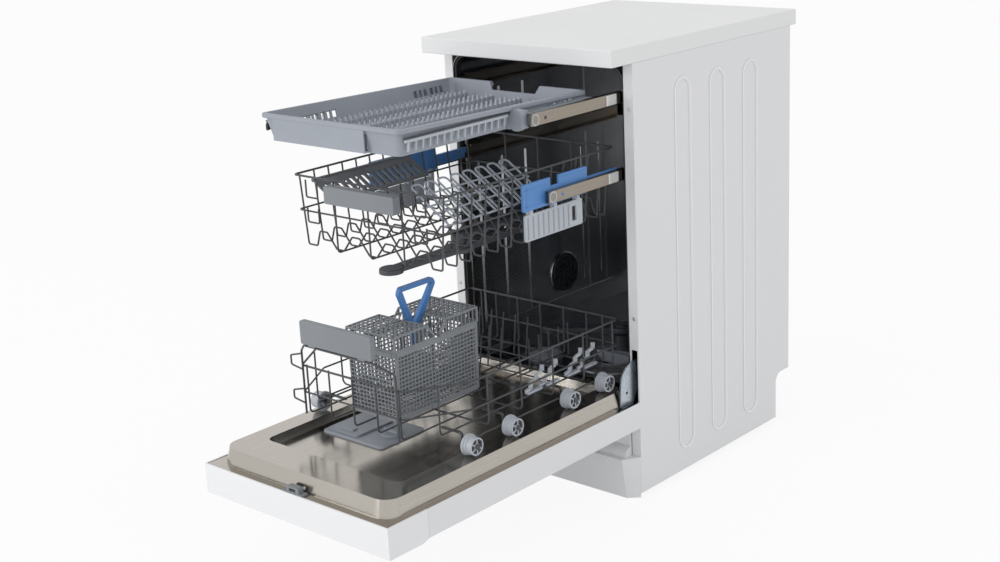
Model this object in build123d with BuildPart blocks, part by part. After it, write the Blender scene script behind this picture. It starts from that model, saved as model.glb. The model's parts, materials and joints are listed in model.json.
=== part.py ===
from build123d import *
import os

# Slimline free-standing dishwasher with a cutlery tray and two racks, door open, racks pulled out

os.makedirs("parts", exist_ok=True)

# Cabinet
WIDTH = 450.0
DEPTH = 600.0
HEIGHT = 850.0
HALF = WIDTH / 2
TOP_THICK = 30.0
TOP_UNDER = HEIGHT - TOP_THICK
PANEL_FRONT = 60.0
PANEL_REAR = 579.0
PANEL_BOTTOM = 10.0
SHEET = 1.0
BEAD = 1.0
BEAD_WIDTH = 4.0
PANEL_SKIN = HALF - BEAD
FLANGE_INNER = 204.0
REAR_FLANGE_WIDTH = 14.0
NOTCH_DEPTH = 49.0
NOTCH_TOP = 106.0
NOTCH_RADIUS = 20.0
LOOP_WIDTH = 48.0
LOOP_LOW = 54.0
LOOP_HIGH = 774.0
LOOP_YS = (208.0, 320.0, 432.0)
HINGE_SLOT_X = (208.0, 221.0)
HINGE_SLOT_Z = (150.0, 292.0)
HINGE_CUT = 209.4
FLANGE_SCREW_ZS = (739.0, 353.0)
FLANGE_SCREW_X = 216.0

# Tub
TUB_OUT = 204.0
TUB_FRONT = 61.0
TUB_REAR = 561.0
TUB_CEILING = 812.0
TUB_LEDGE = 221.0
TUB_FLOOR = 185.0
LEDGE_X = 163.0
TUB_RADIUS = 30.0
TUB_LIP = 4.0
TUB_SHEET = 1.0
SILL_TOP = 217.0
RIB_WIDTH = 12.0
RIB_DEPTH = 3.0
WALL_RIB_YS = (120.0, 190.0, 262.0, 460.0, 520.0)
LOW_RIB_Z = (250.0, 590.0)
HIGH_RIB_Z = (650.0, 730.0)
SUMP = (30.0, 235.0)
SUMP_HOLE = 46.0
LOW_ARM = (0.0, 305.0)
LOW_ARM_Z = (224.0, 234.0)
LOW_ARM_REACH = 165.0
LOW_ARM_ANGLE = 218.0
ARM_PIN = 6.0
ARM_FIT = 0.05
SALT = (-95.0, 170.0)
INLET_X = 136.0
DRAIN_X = 84.0
INLET_Y = (533.0, 551.0)
INLET_Z = 78.0
INLET_RADIUS = 13.0
VENT = (369.0, 300.0)
VENT_RADIUS = 40.0
PIN_RADIUS = 5.0
PIN_FIT = 0.05

# Door in its open place: the inner face looks up
HINGE_Y = 43.0
HINGE_Z = 177.0
DOOR_OUTER_Z = 141.0
DOOR_INNER_Z = 192.0
DOOR_END = 59.0
DOOR_HALF = 224.8
FASCIA_END = -597.0
FASCIA_SPLIT = -507.0
FASCIA_OUTER_Z = 137.0
SKIN = 1.4
FASCIA_WALL = 2.4
LINER_HALF = DOOR_HALF - FASCIA_WALL - 0.1
PAN_BASE_HALF = 209.0
PAN_TOP_HALF = 203.0
PAN_BASE_Y = (-579.0, 48.0)
PAN_TOP_Y = (-572.0, 44.0)
PAN_TOP_Z = 221.0
PAN_CORNER = 34.0
POCKET_HALF = 163.0
POCKET_Y = (-508.0, 24.0)
POCKET_DEPTH = 15.0
POCKET_SLOPE = 6.0
POCKET_CORNER = 16.0
POCKET_FLOOR = PAN_TOP_Z - POCKET_DEPTH
BUTTON_XS = (-190.0, 190.0)
BUTTON_Y = -551.0
BUTTON_RADIUS = 8.0
DISPENSER_X = (-136.0, 14.0)
DISPENSER_Y = (-402.0, -290.0)
DISPENSER_HOLE_X = (-130.0, 8.0)
DISPENSER_HOLE_Y = (-396.0, -296.0)
RINSE_CENTRE = (-16.0, -346.0)

# Wires and rails
RACK_GAP = 0.4
RIM_WIRE = 1.9
HOOP_WIRE = 1.6
TINE_WIRE = 1.4
RIM_JOIN = 0.1
RAIL_X = (185.0, 195.6)
RAIL_HALF_HEIGHT = 10.6
RAIL_WALL = 2.2
SEAM = 0.05
CHANNEL_X = (184.6, 202.8)
CHANNEL_Y = (80.0, 548.0)
TRAY_RAIL_Z = 758.0
TRAY_RAIL_Y = (-178.0, 262.0)
UPPER_RAIL_Z = 619.0
UPPER_RAIL_Y = (-140.0, 290.0)

# Cutlery tray, its rim higher at the front
TRAY_HALF = 163.0
TRAY_Y = (-457.0, 11.0)
TRAY_FLOOR_Z = 743.0
TRAY_RIM_Z = 782.5
TRAY_RIM_DEPTH = 8.0
TRAY_TILT = 1.35
TRAY_DRAFT = 9.0
TRAY_LIP = 3.6
TRAY_CORNER = 10.0
TRAY_MIDDLE = (TRAY_Y[0] + TRAY_Y[1]) / 2
TRAY_GRIP_END = 84.5
TRAY_RUNNER_X = 160.0
TRAY_WALL = 2.6
TRAY_BLADE_TOP = 756.0

# Upper basket
UP_HALF = 175.0
UP_Y = (-383.0, 65.0)
UP_RIM_Z = 667.0
UP_MID_Z = 606.0
UP_LOW_Z = 543.0
UP_CREST_Z = 570.0
UP_HOOPS = 14
UP_FLOOR_HALF = 160.0
UP_PITCH = 33.6
UP_SLOPE = (UP_HALF - RIM_WIRE - HOOP_WIRE - UP_FLOOR_HALF) / (UP_RIM_Z + 1 - UP_LOW_Z)
UP_COS = 1 / (1 + UP_SLOPE ** 2) ** 0.5
UP_MID_HALF = UP_FLOOR_HALF + (UP_MID_Z - UP_LOW_Z) * UP_SLOPE + 2 * HOOP_WIRE / UP_COS
SHELF_HINGE = (161.4, 615.0)
SHELF_INNER = (80.0, 668.0)
COMB_HINGE = (-158.0, 652.0)
ARM_CENTRE = (0.0, -166.0)
ARM_REACH = 188.0
UP_ARM_Z = (505.0, 514.0)

# Lower basket
LOW_HALF = 183.0
LOW_NOSE = 120.0
LOW_Y = (-448.0, 53.0)
LOW_SHOULDER_Y = -345.0
LOW_RIM_Z = 349.0
LOW_MID_Z = 300.0
LOW_FLOOR_Z = 258.0
LOW_LONG_Z = LOW_FLOOR_Z + 2 * HOOP_WIRE
LOW_LONG_XS = (0.0, 57.0, 112.0)
LOW_CORNER_X = 150.0
LOW_CORNER_Y = -392.3
LOW_HOOP_YS = (40.0, -46.0, -132.0, -218.0, -304.0)
LOW_TINE_YS = (-150.0, -94.0, -20.0)
LOW_TINE_XS = (-130.0, -100.0, -70.0, -40.0, -10.0, 20.0)
LOW_GRIP_Y = -471.0
LOW_GRIP_Z = (402.0, 444.0)
LOW_LOOP_X = 114.0
FOLD_X = 84.0
FOLD_Z = LOW_LONG_Z + HOOP_WIRE + 4 * TINE_WIRE
WHEEL_YS = (-355.0, -251.0, -94.0, 6.0)
WHEEL_Z = 240.0
WHEEL_RADIUS = 18.5
WHEEL_X = (176.0, 197.0)
AXLE_RADIUS = 2.5
AXLE_FIT = 0.08

# Cutlery basket
CUTLERY_HALF = 58.6
CUTLERY_Y = (-398.6, -186.4)
CUTLERY_Z = (263.4, 388.0)
CUTLERY_MIDDLE = (CUTLERY_Y[0] + CUTLERY_Y[1]) / 2
LID_HEIGHT = 28.0
LID_SLANT = 17.0
BOW_HALF = 4.0
BOW_FOOT = 352.0
BOW_SLOT = 62.0
BOW_BASE = 392.0
KNUCKLE = 2.4


def slab(xs, ys, zs, mode=Mode.ADD):
    """A box between two corners, in the part that is being built."""
    with Locations(((xs[0] + xs[1]) / 2, (ys[0] + ys[1]) / 2, (zs[0] + zs[1]) / 2)):
        Box(abs(xs[1] - xs[0]), abs(ys[1] - ys[0]), abs(zs[1] - zs[0]), mode=mode)


def drum(centre, radius, zs, mode=Mode.ADD):
    """An upright cylinder between two heights, in the part that is being built."""
    with Locations((centre[0], centre[1], (zs[0] + zs[1]) / 2)):
        Cylinder(radius, zs[1] - zs[0], mode=mode)


def drum_x(xs, y, z, radius, mode=Mode.ADD):
    """A cylinder along X, in the part that is being built."""
    with Locations(((xs[0] + xs[1]) / 2, y, z)):
        Cylinder(radius, abs(xs[1] - xs[0]), rotation=(0, 90, 0), mode=mode)


def bar(xs, ys, zs, edge=0.0):
    """A separate box with its upright edges rounded."""
    with BuildPart() as piece:
        slab(xs, ys, zs)
        if edge:
            fillet(piece.edges().filter_by(Axis.Z), edge)
    return piece.part


def rod(points, radius, bend=6.0):
    """A round wire through the given points, with its corners bent."""
    route = [Vector(*point) for point in points]
    with BuildPart() as wire:
        with BuildLine() as path:
            if len(route) == 2:
                Line(*route)
            else:
                FilletPolyline(*route, radius=bend)
        start = Plane(origin=path.line @ 0, z_dir=path.line % 0)
        with BuildSketch(start):
            Circle(radius)
        sweep(path=path.line)
    return wire.part


def mirrored(piece):
    """The same piece on the other side of the middle plane."""
    return mirror(piece, about=Plane.YZ)


def save(pieces, label):
    """Write one node, made of one or more separate solids."""
    solids = []
    for piece in pieces if isinstance(pieces, (list, tuple)) else [pieces]:
        solids += piece.solids()
    node = solids[0] if len(solids) == 1 else Compound(solids)
    node.label = label
    export_step(node, f"parts/{label}.step")
    print(label, len(solids), "solids")


def worktop():
    """Chipboard top with softened edges."""
    with BuildPart() as top:
        slab((-HALF, HALF), (0, DEPTH), (TOP_UNDER, HEIGHT))
        fillet(top.edges(), 1.8)
    return top.part


def panel_outline():
    """Side view of a side panel, with the curved cut-out low at the rear."""
    Polyline(
        (PANEL_FRONT, PANEL_BOTTOM),
        (PANEL_FRONT, TOP_UNDER),
        (PANEL_REAR, TOP_UNDER),
        (PANEL_REAR, NOTCH_TOP),
        (PANEL_REAR - NOTCH_DEPTH, NOTCH_TOP),
        (PANEL_REAR - NOTCH_DEPTH, PANEL_BOTTOM),
        close=True,
    )


def side_panel():
    """Right-hand steel panel with turned-in flanges and three embossed loops."""
    loop_mid = (LOOP_LOW + LOOP_HIGH) / 2
    loop_run = LOOP_HIGH - LOOP_LOW
    with BuildPart() as panel:
        with BuildSketch(Plane.YZ.offset(PANEL_SKIN - SHEET)) as face:
            with BuildLine():
                panel_outline()
            make_face()
            inner_corner = face.vertices().sort_by(
                lambda v: abs(v.X - PANEL_REAR + NOTCH_DEPTH) + abs(v.Y - NOTCH_TOP)
            )[0]
            fillet(inner_corner, NOTCH_RADIUS)
        extrude(amount=SHEET)
        with BuildSketch(Plane.YZ.offset(PANEL_SKIN)):
            with Locations(*[(y, loop_mid) for y in LOOP_YS]):
                SlotOverall(loop_run, LOOP_WIDTH, rotation=90)
                SlotOverall(loop_run - 2 * BEAD_WIDTH, LOOP_WIDTH - 2 * BEAD_WIDTH, rotation=90,
                            mode=Mode.SUBTRACT)
        extrude(amount=BEAD)
        slab((FLANGE_INNER, PANEL_SKIN), (PANEL_FRONT, PANEL_FRONT + SHEET), (PANEL_BOTTOM, TOP_UNDER))
        slab((PANEL_SKIN - REAR_FLANGE_WIDTH, PANEL_SKIN), (PANEL_REAR - SHEET, PANEL_REAR),
             (NOTCH_TOP, TOP_UNDER))
        slab(HINGE_SLOT_X, (PANEL_FRONT - 1, PANEL_FRONT + 2), HINGE_SLOT_Z, mode=Mode.SUBTRACT)
    return panel.part


def back_panel():
    """Rear sheet with a shallow pressed field, between the two side panels' flanges."""
    inner = PANEL_SKIN - REAR_FLANGE_WIDTH - 0.5
    with BuildPart() as back:
        slab((-inner, inner), (PANEL_REAR - SHEET, PANEL_REAR), (NOTCH_TOP, TOP_UNDER))
        slab((-inner + 30, inner - 30), (PANEL_REAR - 5, PANEL_REAR - 4), (NOTCH_TOP + 60, TOP_UNDER - 60))
        for x_side in (-1, 1):
            slab((x_side * (inner - 30), x_side * (inner - 31)), (PANEL_REAR - 5, PANEL_REAR),
                 (NOTCH_TOP + 60, TOP_UNDER - 60))
        for z_edge in (NOTCH_TOP + 60, TOP_UNDER - 61):
            slab((-inner + 30, inner - 30), (PANEL_REAR - 5, PANEL_REAR), (z_edge, z_edge + 1))
        slab((-inner + 31, inner - 31), (PANEL_REAR - 4, PANEL_REAR), (NOTCH_TOP + 61, TOP_UNDER - 61),
             mode=Mode.SUBTRACT)
    return back.part


def base_tray():
    """Moulded floor tray that carries the tub on two long walls."""
    rear = PANEL_REAR - NOTCH_DEPTH - 3
    with BuildPart() as base:
        slab((-202, 202), (67, rear), (PANEL_BOTTOM, PANEL_BOTTOM + 5))
        for side in (-1, 1):
            slab((side * 198, side * 202), (67, rear), (PANEL_BOTTOM, TUB_LEDGE - 1))
            for y in (110, 300, 490):
                slab((side * 202, side * (PANEL_SKIN - SHEET)), (y, y + 6), (PANEL_BOTTOM, 60))
        slab((-198, 198), (67, 71), (PANEL_BOTTOM, TUB_FLOOR))
        slab((-198, 198), (rear - 4, rear), (PANEL_BOTTOM, 60))
        slab((-150, 150), (66, 73), (60, 150), mode=Mode.SUBTRACT)
    return base.part


def kickplate():
    """Plinth whose front leans out at the top, with bevelled ends and a coved back board."""
    top_z = 83.0
    low = ((-202, 42), (202, 42), (222, PANEL_FRONT), (-222, PANEL_FRONT))
    high = ((-204, 27), (204, 27), (224, PANEL_FRONT), (-224, PANEL_FRONT))
    wall = 2.5
    with BuildPart() as plinth:
        for inset, bottom, lid, mode in ((0, 1.0, top_z, Mode.ADD), (wall, 0.0, top_z - wall, Mode.SUBTRACT)):
            with BuildSketch(Plane.XY.offset(bottom)):
                with BuildLine():
                    Polyline(*[(x - inset * (1 if x > 0 else -1), y + (inset if y < 50 else 9 * bool(inset)))
                               for x, y in low], close=True)
                make_face()
            with BuildSketch(Plane.XY.offset(lid)):
                with BuildLine():
                    Polyline(*[(x - inset * (1 if x > 0 else -1), y + (inset if y < 50 else 9 * bool(inset)))
                               for x, y in high], close=True)
                make_face()
            loft(ruled=True, mode=mode)
        with BuildSketch(Plane.YZ.offset(-FLANGE_INNER + 0.5)):
            with BuildLine():
                Line((PANEL_FRONT - 22, top_z - wall), (PANEL_FRONT - 22, top_z))
                RadiusArc((PANEL_FRONT - 22, top_z), (PANEL_FRONT - 4, top_z + 18), 18)
                Line((PANEL_FRONT - 4, top_z + 18), (PANEL_FRONT - 4, 136))
                Line((PANEL_FRONT - 4, 136), (PANEL_FRONT - 1, 136))
                Line((PANEL_FRONT - 1, 136), (PANEL_FRONT - 1, top_z - wall))
                Line((PANEL_FRONT - 1, top_z - wall), (PANEL_FRONT - 22, top_z - wall))
            make_face()
        extrude(amount=2 * FLANGE_INNER - 1)
    return plinth.part


def tub_wrap():
    """Side walls and ceiling of the tub in one bent sheet, with ribs and a lip at the mouth."""
    inner = TUB_OUT - TUB_SHEET
    with BuildPart() as shell:
        for inset, near, mode in ((0.0, TUB_FRONT, Mode.ADD), (TUB_SHEET, TUB_FRONT - 1, Mode.SUBTRACT)):
            half = TUB_OUT - inset
            low = TUB_LEDGE - TUB_SHEET - 2 * inset
            with BuildSketch(Plane.XZ.offset(-near)) as section:
                with BuildLine():
                    Polyline((-half, low), (-half, TUB_CEILING - inset), (half, TUB_CEILING - inset),
                             (half, low),
                             close=True)
                make_face()
                corners = section.vertices().filter_by_position(Axis.Y, TUB_CEILING - 5, TUB_CEILING + 1)
                fillet(corners, TUB_RADIUS - inset)
            extrude(amount=near - TUB_REAR + TUB_SHEET - inset, mode=mode)
        for side in (-1, 1):
            slab((side * (inner + 0.5), side * (TUB_OUT + TUB_LIP)), (TUB_FRONT, TUB_FRONT + TUB_SHEET),
                 (TUB_LEDGE, TUB_CEILING - TUB_RADIUS))
            for y in WALL_RIB_YS:
                for zs in (LOW_RIB_Z, HIGH_RIB_Z):
                    with BuildSketch(Plane.XY.offset(zs[0])):
                        with BuildLine():
                            Polyline((side * (inner + 0.4), y - RIB_WIDTH / 2),
                                     (side * (inner - RIB_DEPTH), y - RIB_WIDTH / 6),
                                     (side * (inner - RIB_DEPTH), y + RIB_WIDTH / 6),
                                     (side * (inner + 0.4), y + RIB_WIDTH / 2), close=True)
                        make_face()
                    extrude(amount=zs[1] - zs[0])
        drum_x((-TUB_OUT - 1, -inner + 1), *VENT, VENT_RADIUS - 2, mode=Mode.SUBTRACT)
    return shell.part


def tub_pan():
    """Floor of the tub: a wheel ledge on each side, the trough between them and the front sill."""
    half = TUB_OUT - TUB_SHEET
    deep = TUB_FLOOR + TUB_SHEET
    under = TUB_LEDGE - TUB_SHEET
    outer = LEDGE_X + TUB_SHEET
    with BuildPart() as pan:
        with BuildSketch(Plane.XZ.offset(-TUB_FRONT)):
            with BuildLine():
                Polyline((-half, TUB_LEDGE), (-LEDGE_X, TUB_LEDGE), (-LEDGE_X, deep), (LEDGE_X, deep),
                         (LEDGE_X, TUB_LEDGE), (half, TUB_LEDGE), (half, under), (outer, under),
                         (outer, TUB_FLOOR), (-outer, TUB_FLOOR), (-outer, under), (-half, under), close=True)
            make_face()
        extrude(amount=TUB_FRONT - TUB_REAR + TUB_SHEET)
        slab((-LEDGE_X, LEDGE_X), (TUB_FRONT, TUB_FRONT + TUB_SHEET), (TUB_FLOOR + 0.5, SILL_TOP))
        drum(SUMP, SUMP_HOLE, (TUB_FLOOR - 1, TUB_FLOOR + 3), mode=Mode.SUBTRACT)
        drum(SALT, 27, (TUB_FLOOR - 1, TUB_FLOOR + 3), mode=Mode.SUBTRACT)
    return pan.part


def tub_rear():
    """Rear wall of the tub, in the outline of its mouth."""
    low_half = LEDGE_X + TUB_SHEET
    under = TUB_LEDGE - TUB_SHEET
    with BuildPart() as wall:
        with BuildSketch(Plane.XZ.offset(-TUB_REAR + TUB_SHEET)) as section:
            with BuildLine():
                Polyline((-TUB_OUT, under), (-TUB_OUT, TUB_CEILING), (TUB_OUT, TUB_CEILING), (TUB_OUT, under),
                         (low_half, under), (low_half, TUB_FLOOR), (-low_half, TUB_FLOOR), (-low_half, under),
                         close=True)
            make_face()
            fillet(section.vertices().filter_by_position(Axis.Y,
                                                         TUB_CEILING - 5, TUB_CEILING + 1), TUB_RADIUS)
        extrude(amount=-TUB_SHEET)
    return wall.part


def tub():
    """Stainless wash tub, open at the front, welded from three sheets."""
    return [tub_wrap(), tub_pan(), tub_rear()]


def door_gasket():
    """Rubber seal just inside the tub's mouth, at both sides and the top."""
    ys = (64.0, 76.0)
    ceiling = TUB_CEILING - 1.1
    with BuildPart() as seal:
        for inset, low, mode in ((0.0, 264.0, Mode.ADD), (4.6, 260.0, Mode.SUBTRACT)):
            half = TUB_OUT - 1.1 - inset
            with BuildSketch(Plane.XZ.offset(-ys[0])) as ring:
                with BuildLine():
                    Polyline((-half, low), (-half, ceiling - inset), (half, ceiling - inset),
                             (half, low), close=True)
                make_face()
                fillet(ring.vertices().filter_by_position(Axis.Y, 700, 900), TUB_RADIUS - 1 - inset)
            extrude(amount=-(ys[1] - ys[0]), mode=mode)
    return seal.part


def water_duct():
    """Flat riser on the rear wall, with an outlet for the middle arm and a run under the ceiling."""
    front = TUB_REAR - 1.2
    with BuildPart() as duct:
        slab((-16, 16), (front - 12, front), (232, TUB_CEILING - 1.2))
        slab((-16, 16), (300, front), (TUB_CEILING - 11, TUB_CEILING - 1.2))
        with Locations((0, front - 12, 530)):
            Cylinder(13, 18, rotation=(90, 0, 0))
            Cylinder(9.5, 40, rotation=(90, 0, 0), mode=Mode.SUBTRACT)
        fillet(duct.edges().filter_by(Axis.Z).group_by(Axis.Y)[0], 3)
    return duct.part


def ceiling_sprayer():
    """Small fixed shower head under the ceiling."""
    under = TUB_CEILING - 11
    with BuildPart() as head:
        drum((0, 300), 20, (under - 8, under - 0.1))
        drum((0, 300), 34, (under - 14, under - 8))
        with Locations((0, 300, under - 14)):
            with PolarLocations(24, 8):
                Hole(2.2, depth=4)
        chamfer(head.edges().group_by(Axis.Z)[0].filter_by(GeomType.CIRCLE).sort_by(SortBy.RADIUS)[-1], 1.5)
    return head.part


def drying_vent():
    """Round louvred grille of the drying duct, in the left wall."""
    wall = -TUB_OUT
    with BuildPart() as vent:
        drum_x((wall - 6, wall + 6), *VENT, VENT_RADIUS - 2.4)
        drum_x((wall + 1.2, wall + 8), *VENT, VENT_RADIUS)
        drum_x((wall + 4, wall + 12), *VENT, VENT_RADIUS - 4, mode=Mode.SUBTRACT)
        for radius in (32, 22, 12):
            drum_x((wall + 3.9, wall + 7), *VENT, radius)
            drum_x((wall + 4, wall + 12), *VENT, radius - 3, mode=Mode.SUBTRACT)
        for angle in range(0, 180, 36):
            with Locations(Location((wall + 5.5, *VENT), (angle, 0, 0))):
                Box(3, 2 * VENT_RADIUS - 6, 3)
    return vent.part


def sump():
    """Moulded bowl under the tub floor, and the spigot of the lower spray arm."""
    with BuildPart() as bowl:
        drum(SUMP, 60, (TUB_FLOOR - 8, TUB_FLOOR - 0.1))
        drum(SUMP, 50, (104, TUB_FLOOR - 6))
        drum(SUMP, 46, (108, TUB_FLOOR + 1), mode=Mode.SUBTRACT)
        drum_x((SUMP[0] + 44, SUMP[0] + 62), SUMP[1], 124, 11)
        drum_x((SUMP[0] + 40, SUMP[0] + 64), SUMP[1], 124, 8, mode=Mode.SUBTRACT)
        with Locations((SUMP[0], SUMP[1] + 53, 128)):
            Cylinder(15, 18, rotation=(90, 0, 0))
            Cylinder(12, 26, rotation=(90, 0, 0), mode=Mode.SUBTRACT)
    post = arm_post(LOW_ARM, (TUB_FLOOR + 1.1, LOW_ARM_Z[1] + 6), foot=18, foot_height=LOW_ARM_Z[0] - 194)
    return [bowl.part, post]


def filter_plate():
    """Perforated steel plate around the filter cup."""
    top = TUB_FLOOR + 2.8
    with BuildPart() as plate:
        drum(SUMP, 84, (TUB_FLOOR + 1.1, top))
        drum(SUMP, 42.4, (TUB_FLOOR, top + 1), mode=Mode.SUBTRACT)
        drum(LOW_ARM, 18.5, (TUB_FLOOR, top + 1), mode=Mode.SUBTRACT)
        with Locations((SUMP[0], SUMP[1], top)):
            with PolarLocations(50, 18, start_angle=115, angular_range=335):
                Hole(2.4)
            with PolarLocations(60, 20, start_angle=145, angular_range=280):
                Hole(2.4)
            with PolarLocations(71, 24, start_angle=145, angular_range=280):
                Hole(2.4)
    return plate.part


def filter_cup():
    """Fine filter with a grip, turned to release it."""
    with BuildPart() as cup:
        drum(SUMP, 41.6, (120, TUB_FLOOR + 6))
        drum(SUMP, 38.6, (123, TUB_FLOOR + 7), mode=Mode.SUBTRACT)
        slab((SUMP[0] - 40, SUMP[0] + 40), (SUMP[1] - 3, SUMP[1] + 3), (TUB_FLOOR - 6, TUB_FLOOR + 16))
        with BuildSketch(Plane.XY.offset(150)):
            with Locations(SUMP):
                with PolarLocations(40, 12):
                    Rectangle(8, 6)
        extrude(amount=20, mode=Mode.SUBTRACT)
    return cup.part


def salt_cap():
    """Screw cap of the salt container, in the tub floor."""
    with BuildPart() as cap:
        drum(SALT, 26, (TUB_FLOOR - 12, TUB_FLOOR + 3))
        drum(SALT, 34, (TUB_FLOOR + 1.4, TUB_FLOOR + 12))
        fillet(cap.edges().group_by(Axis.Z)[-1], 2)
        with BuildSketch(Plane.XY.offset(TUB_FLOOR + 6)):
            with Locations(SALT):
                with PolarLocations(34, 12):
                    Circle(3)
        extrude(amount=8, mode=Mode.SUBTRACT)
    return cap.part


def rack_channels():
    """Four fixed channels on the tub walls that guide the rails, each of a web, two flanges and an end stop."""
    gap = RAIL_HALF_HEIGHT + RACK_GAP
    outer = RAIL_HALF_HEIGHT + 3
    web_x = RAIL_X[1] + RACK_GAP
    inside = (CHANNEL_X[0], web_x - SEAM)
    stop_y = CHANNEL_Y[1] - 4
    pieces = []
    for z in (TRAY_RAIL_Z, UPPER_RAIL_Z):
        channel = [bar((web_x, CHANNEL_X[1]), CHANNEL_Y, (z - outer, z + outer)),
                   bar(inside, (stop_y, CHANNEL_Y[1]), (z - gap + SEAM, z + gap - SEAM))]
        for side in (-1, 1):
            channel.append(bar(inside, CHANNEL_Y, (z + side * gap, z + side * outer)))
        pieces += channel + [mirrored(piece) for piece in channel]
    return pieces


def latch_strike():
    """Steel hook plate over the tub's mouth that the door catch closes on."""
    with BuildPart() as strike:
        slab((-24, 24), (TUB_FRONT, TUB_FRONT + 26), (TUB_CEILING + 0.1, TUB_CEILING + 2))
        slab((-14, 14), (TUB_FRONT - 12, TUB_FRONT + 2), (TUB_CEILING + 0.1, TUB_CEILING + 2))
        slab((-8, 8), (TUB_FRONT - 9, TUB_FRONT - 4), (TUB_CEILING - 1, TUB_CEILING + 3), mode=Mode.SUBTRACT)
    return strike.part


def hinge_brackets():
    """Bracket and pin on each side, reaching out through the slot in the panel's flange."""
    with BuildPart() as bracket:
        slab((216.6, 219), (34, 150), (HINGE_Z - 10, HINGE_Z + 10))
        slab((216.6, 219), (70, 150), (120, 280))
        slab((219, PANEL_SKIN - SHEET), (90, 140), (130, 160))
        drum_x((209.4, 217), HINGE_Y, HINGE_Z, PIN_RADIUS)
        fillet(bracket.edges().filter_by(Axis.X).group_by(Axis.Y)[0], 4)
    return [bracket.part, mirrored(bracket.part)]


def feet():
    """Four levelling feet with threaded stems."""
    pieces = []
    for x in (-190, 190):
        for y in (96, 498):
            with BuildPart() as foot:
                drum((x, y), 17, (0, 8))
                chamfer(foot.edges().group_by(Axis.Z)[0], 1)
                drum((x, y), 5, (8, PANEL_BOTTOM))
            pieces.append(foot.part)
    return pieces


def cabinet_screws():
    """Pan-head screws in the front flanges and the rear panel."""
    head, depth = 3.6, 1.8
    places = [(side * FLANGE_SCREW_X, PANEL_FRONT, z, -1) for side in (-1, 1) for z in FLANGE_SCREW_ZS]
    places += [(side * (PANEL_SKIN - 7), PANEL_REAR, z, 1) for side in (-1, 1) for z in (160, 460, 790)]
    pieces = []
    for x, y, z, way in places:
        with BuildPart() as screw:
            with BuildSketch(Plane(origin=(x, y, z), z_dir=(0, way, 0), x_dir=(1, 0, 0))):
                Circle(head)
            extrude(amount=depth)
            fillet(screw.faces().sort_by(Axis.Y)[0 if way < 0 else -1].edges(), 1)
            with BuildSketch(Plane(origin=(x, y + way * depth, z), z_dir=(0, way, 0), x_dir=(1, 0, 0))):
                Rectangle(3.6, 0.9)
                Rectangle(0.9, 3.6)
            extrude(amount=-0.9, mode=Mode.SUBTRACT)
        pieces.append(screw.part)
    return pieces


def wash_pumps():
    """Circulation pump behind the sump and the small drain pump at its right."""
    with BuildPart() as main:
        x, y = SUMP[0], SUMP[1] + 62.1
        with Locations((x, y + 12, 128)):
            Cylinder(14.6, 24, rotation=(90, 0, 0))
        with Locations((x, y + 36, 108)):
            Cylinder(46, 30, rotation=(90, 0, 0))
        with Locations((x, y + 78, 108)):
            Cylinder(34, 60, rotation=(90, 0, 0))
        slab((x - 20, x + 20), (y + 30, y + 100), (PANEL_BOTTOM + 5, 80))
    with BuildPart() as drain:
        x = SUMP[0] + 62.1
        drum_x((x, x + 30), SUMP[1], 124, 22)
        drum_x((x + 28, x + 70), SUMP[1], 124, 17)
        slab((x + 32, x + 60), (SUMP[1] - 12, SUMP[1] + 12), (PANEL_BOTTOM + 5, 112))
        with Locations((x + 15, SUMP[1] - 30, 124)):
            Cylinder(9, 30, rotation=(90, 0, 0))
    return [main.part, drain.part]


def salt_container():
    """Water softener bottle under the tub's salt cap."""
    with BuildPart() as bottle:
        slab((-185, -45), (110, 245), (PANEL_BOTTOM + 5.2, TUB_FLOOR - 14))
        fillet(bottle.edges().filter_by(Axis.Z), 14)
        drum(SALT, 32, (TUB_FLOOR - 16, TUB_FLOOR - 0.2))
        drum(SALT, 26.6, (TUB_FLOOR - 40, TUB_FLOOR + 1), mode=Mode.SUBTRACT)
    return bottle.part


def inlet_valve():
    """Solenoid valve with the threaded water inlet and the drain spout, low at the rear."""
    front, shoulder = INLET_Y[0] - 50, INLET_Y[0]
    with BuildPart() as valve:
        slab((66, 158), (front, shoulder - 11), (PANEL_BOTTOM + 5.2, 94))
        for x, radius, bore in ((INLET_X, INLET_RADIUS, 8), (DRAIN_X, 10, 7)):
            with Locations((x, (shoulder + INLET_Y[1]) / 2, INLET_Z)):
                Cylinder(radius, INLET_Y[1] - shoulder, rotation=(90, 0, 0))
            with Locations((x, shoulder - 6, INLET_Z)):
                Cylinder(radius + 3, 12, rotation=(90, 0, 0))
            with Locations((x, INLET_Y[1] - 18, INLET_Z)):
                Cylinder(bore, 40, rotation=(90, 0, 0), mode=Mode.SUBTRACT)
    return valve.part


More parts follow.
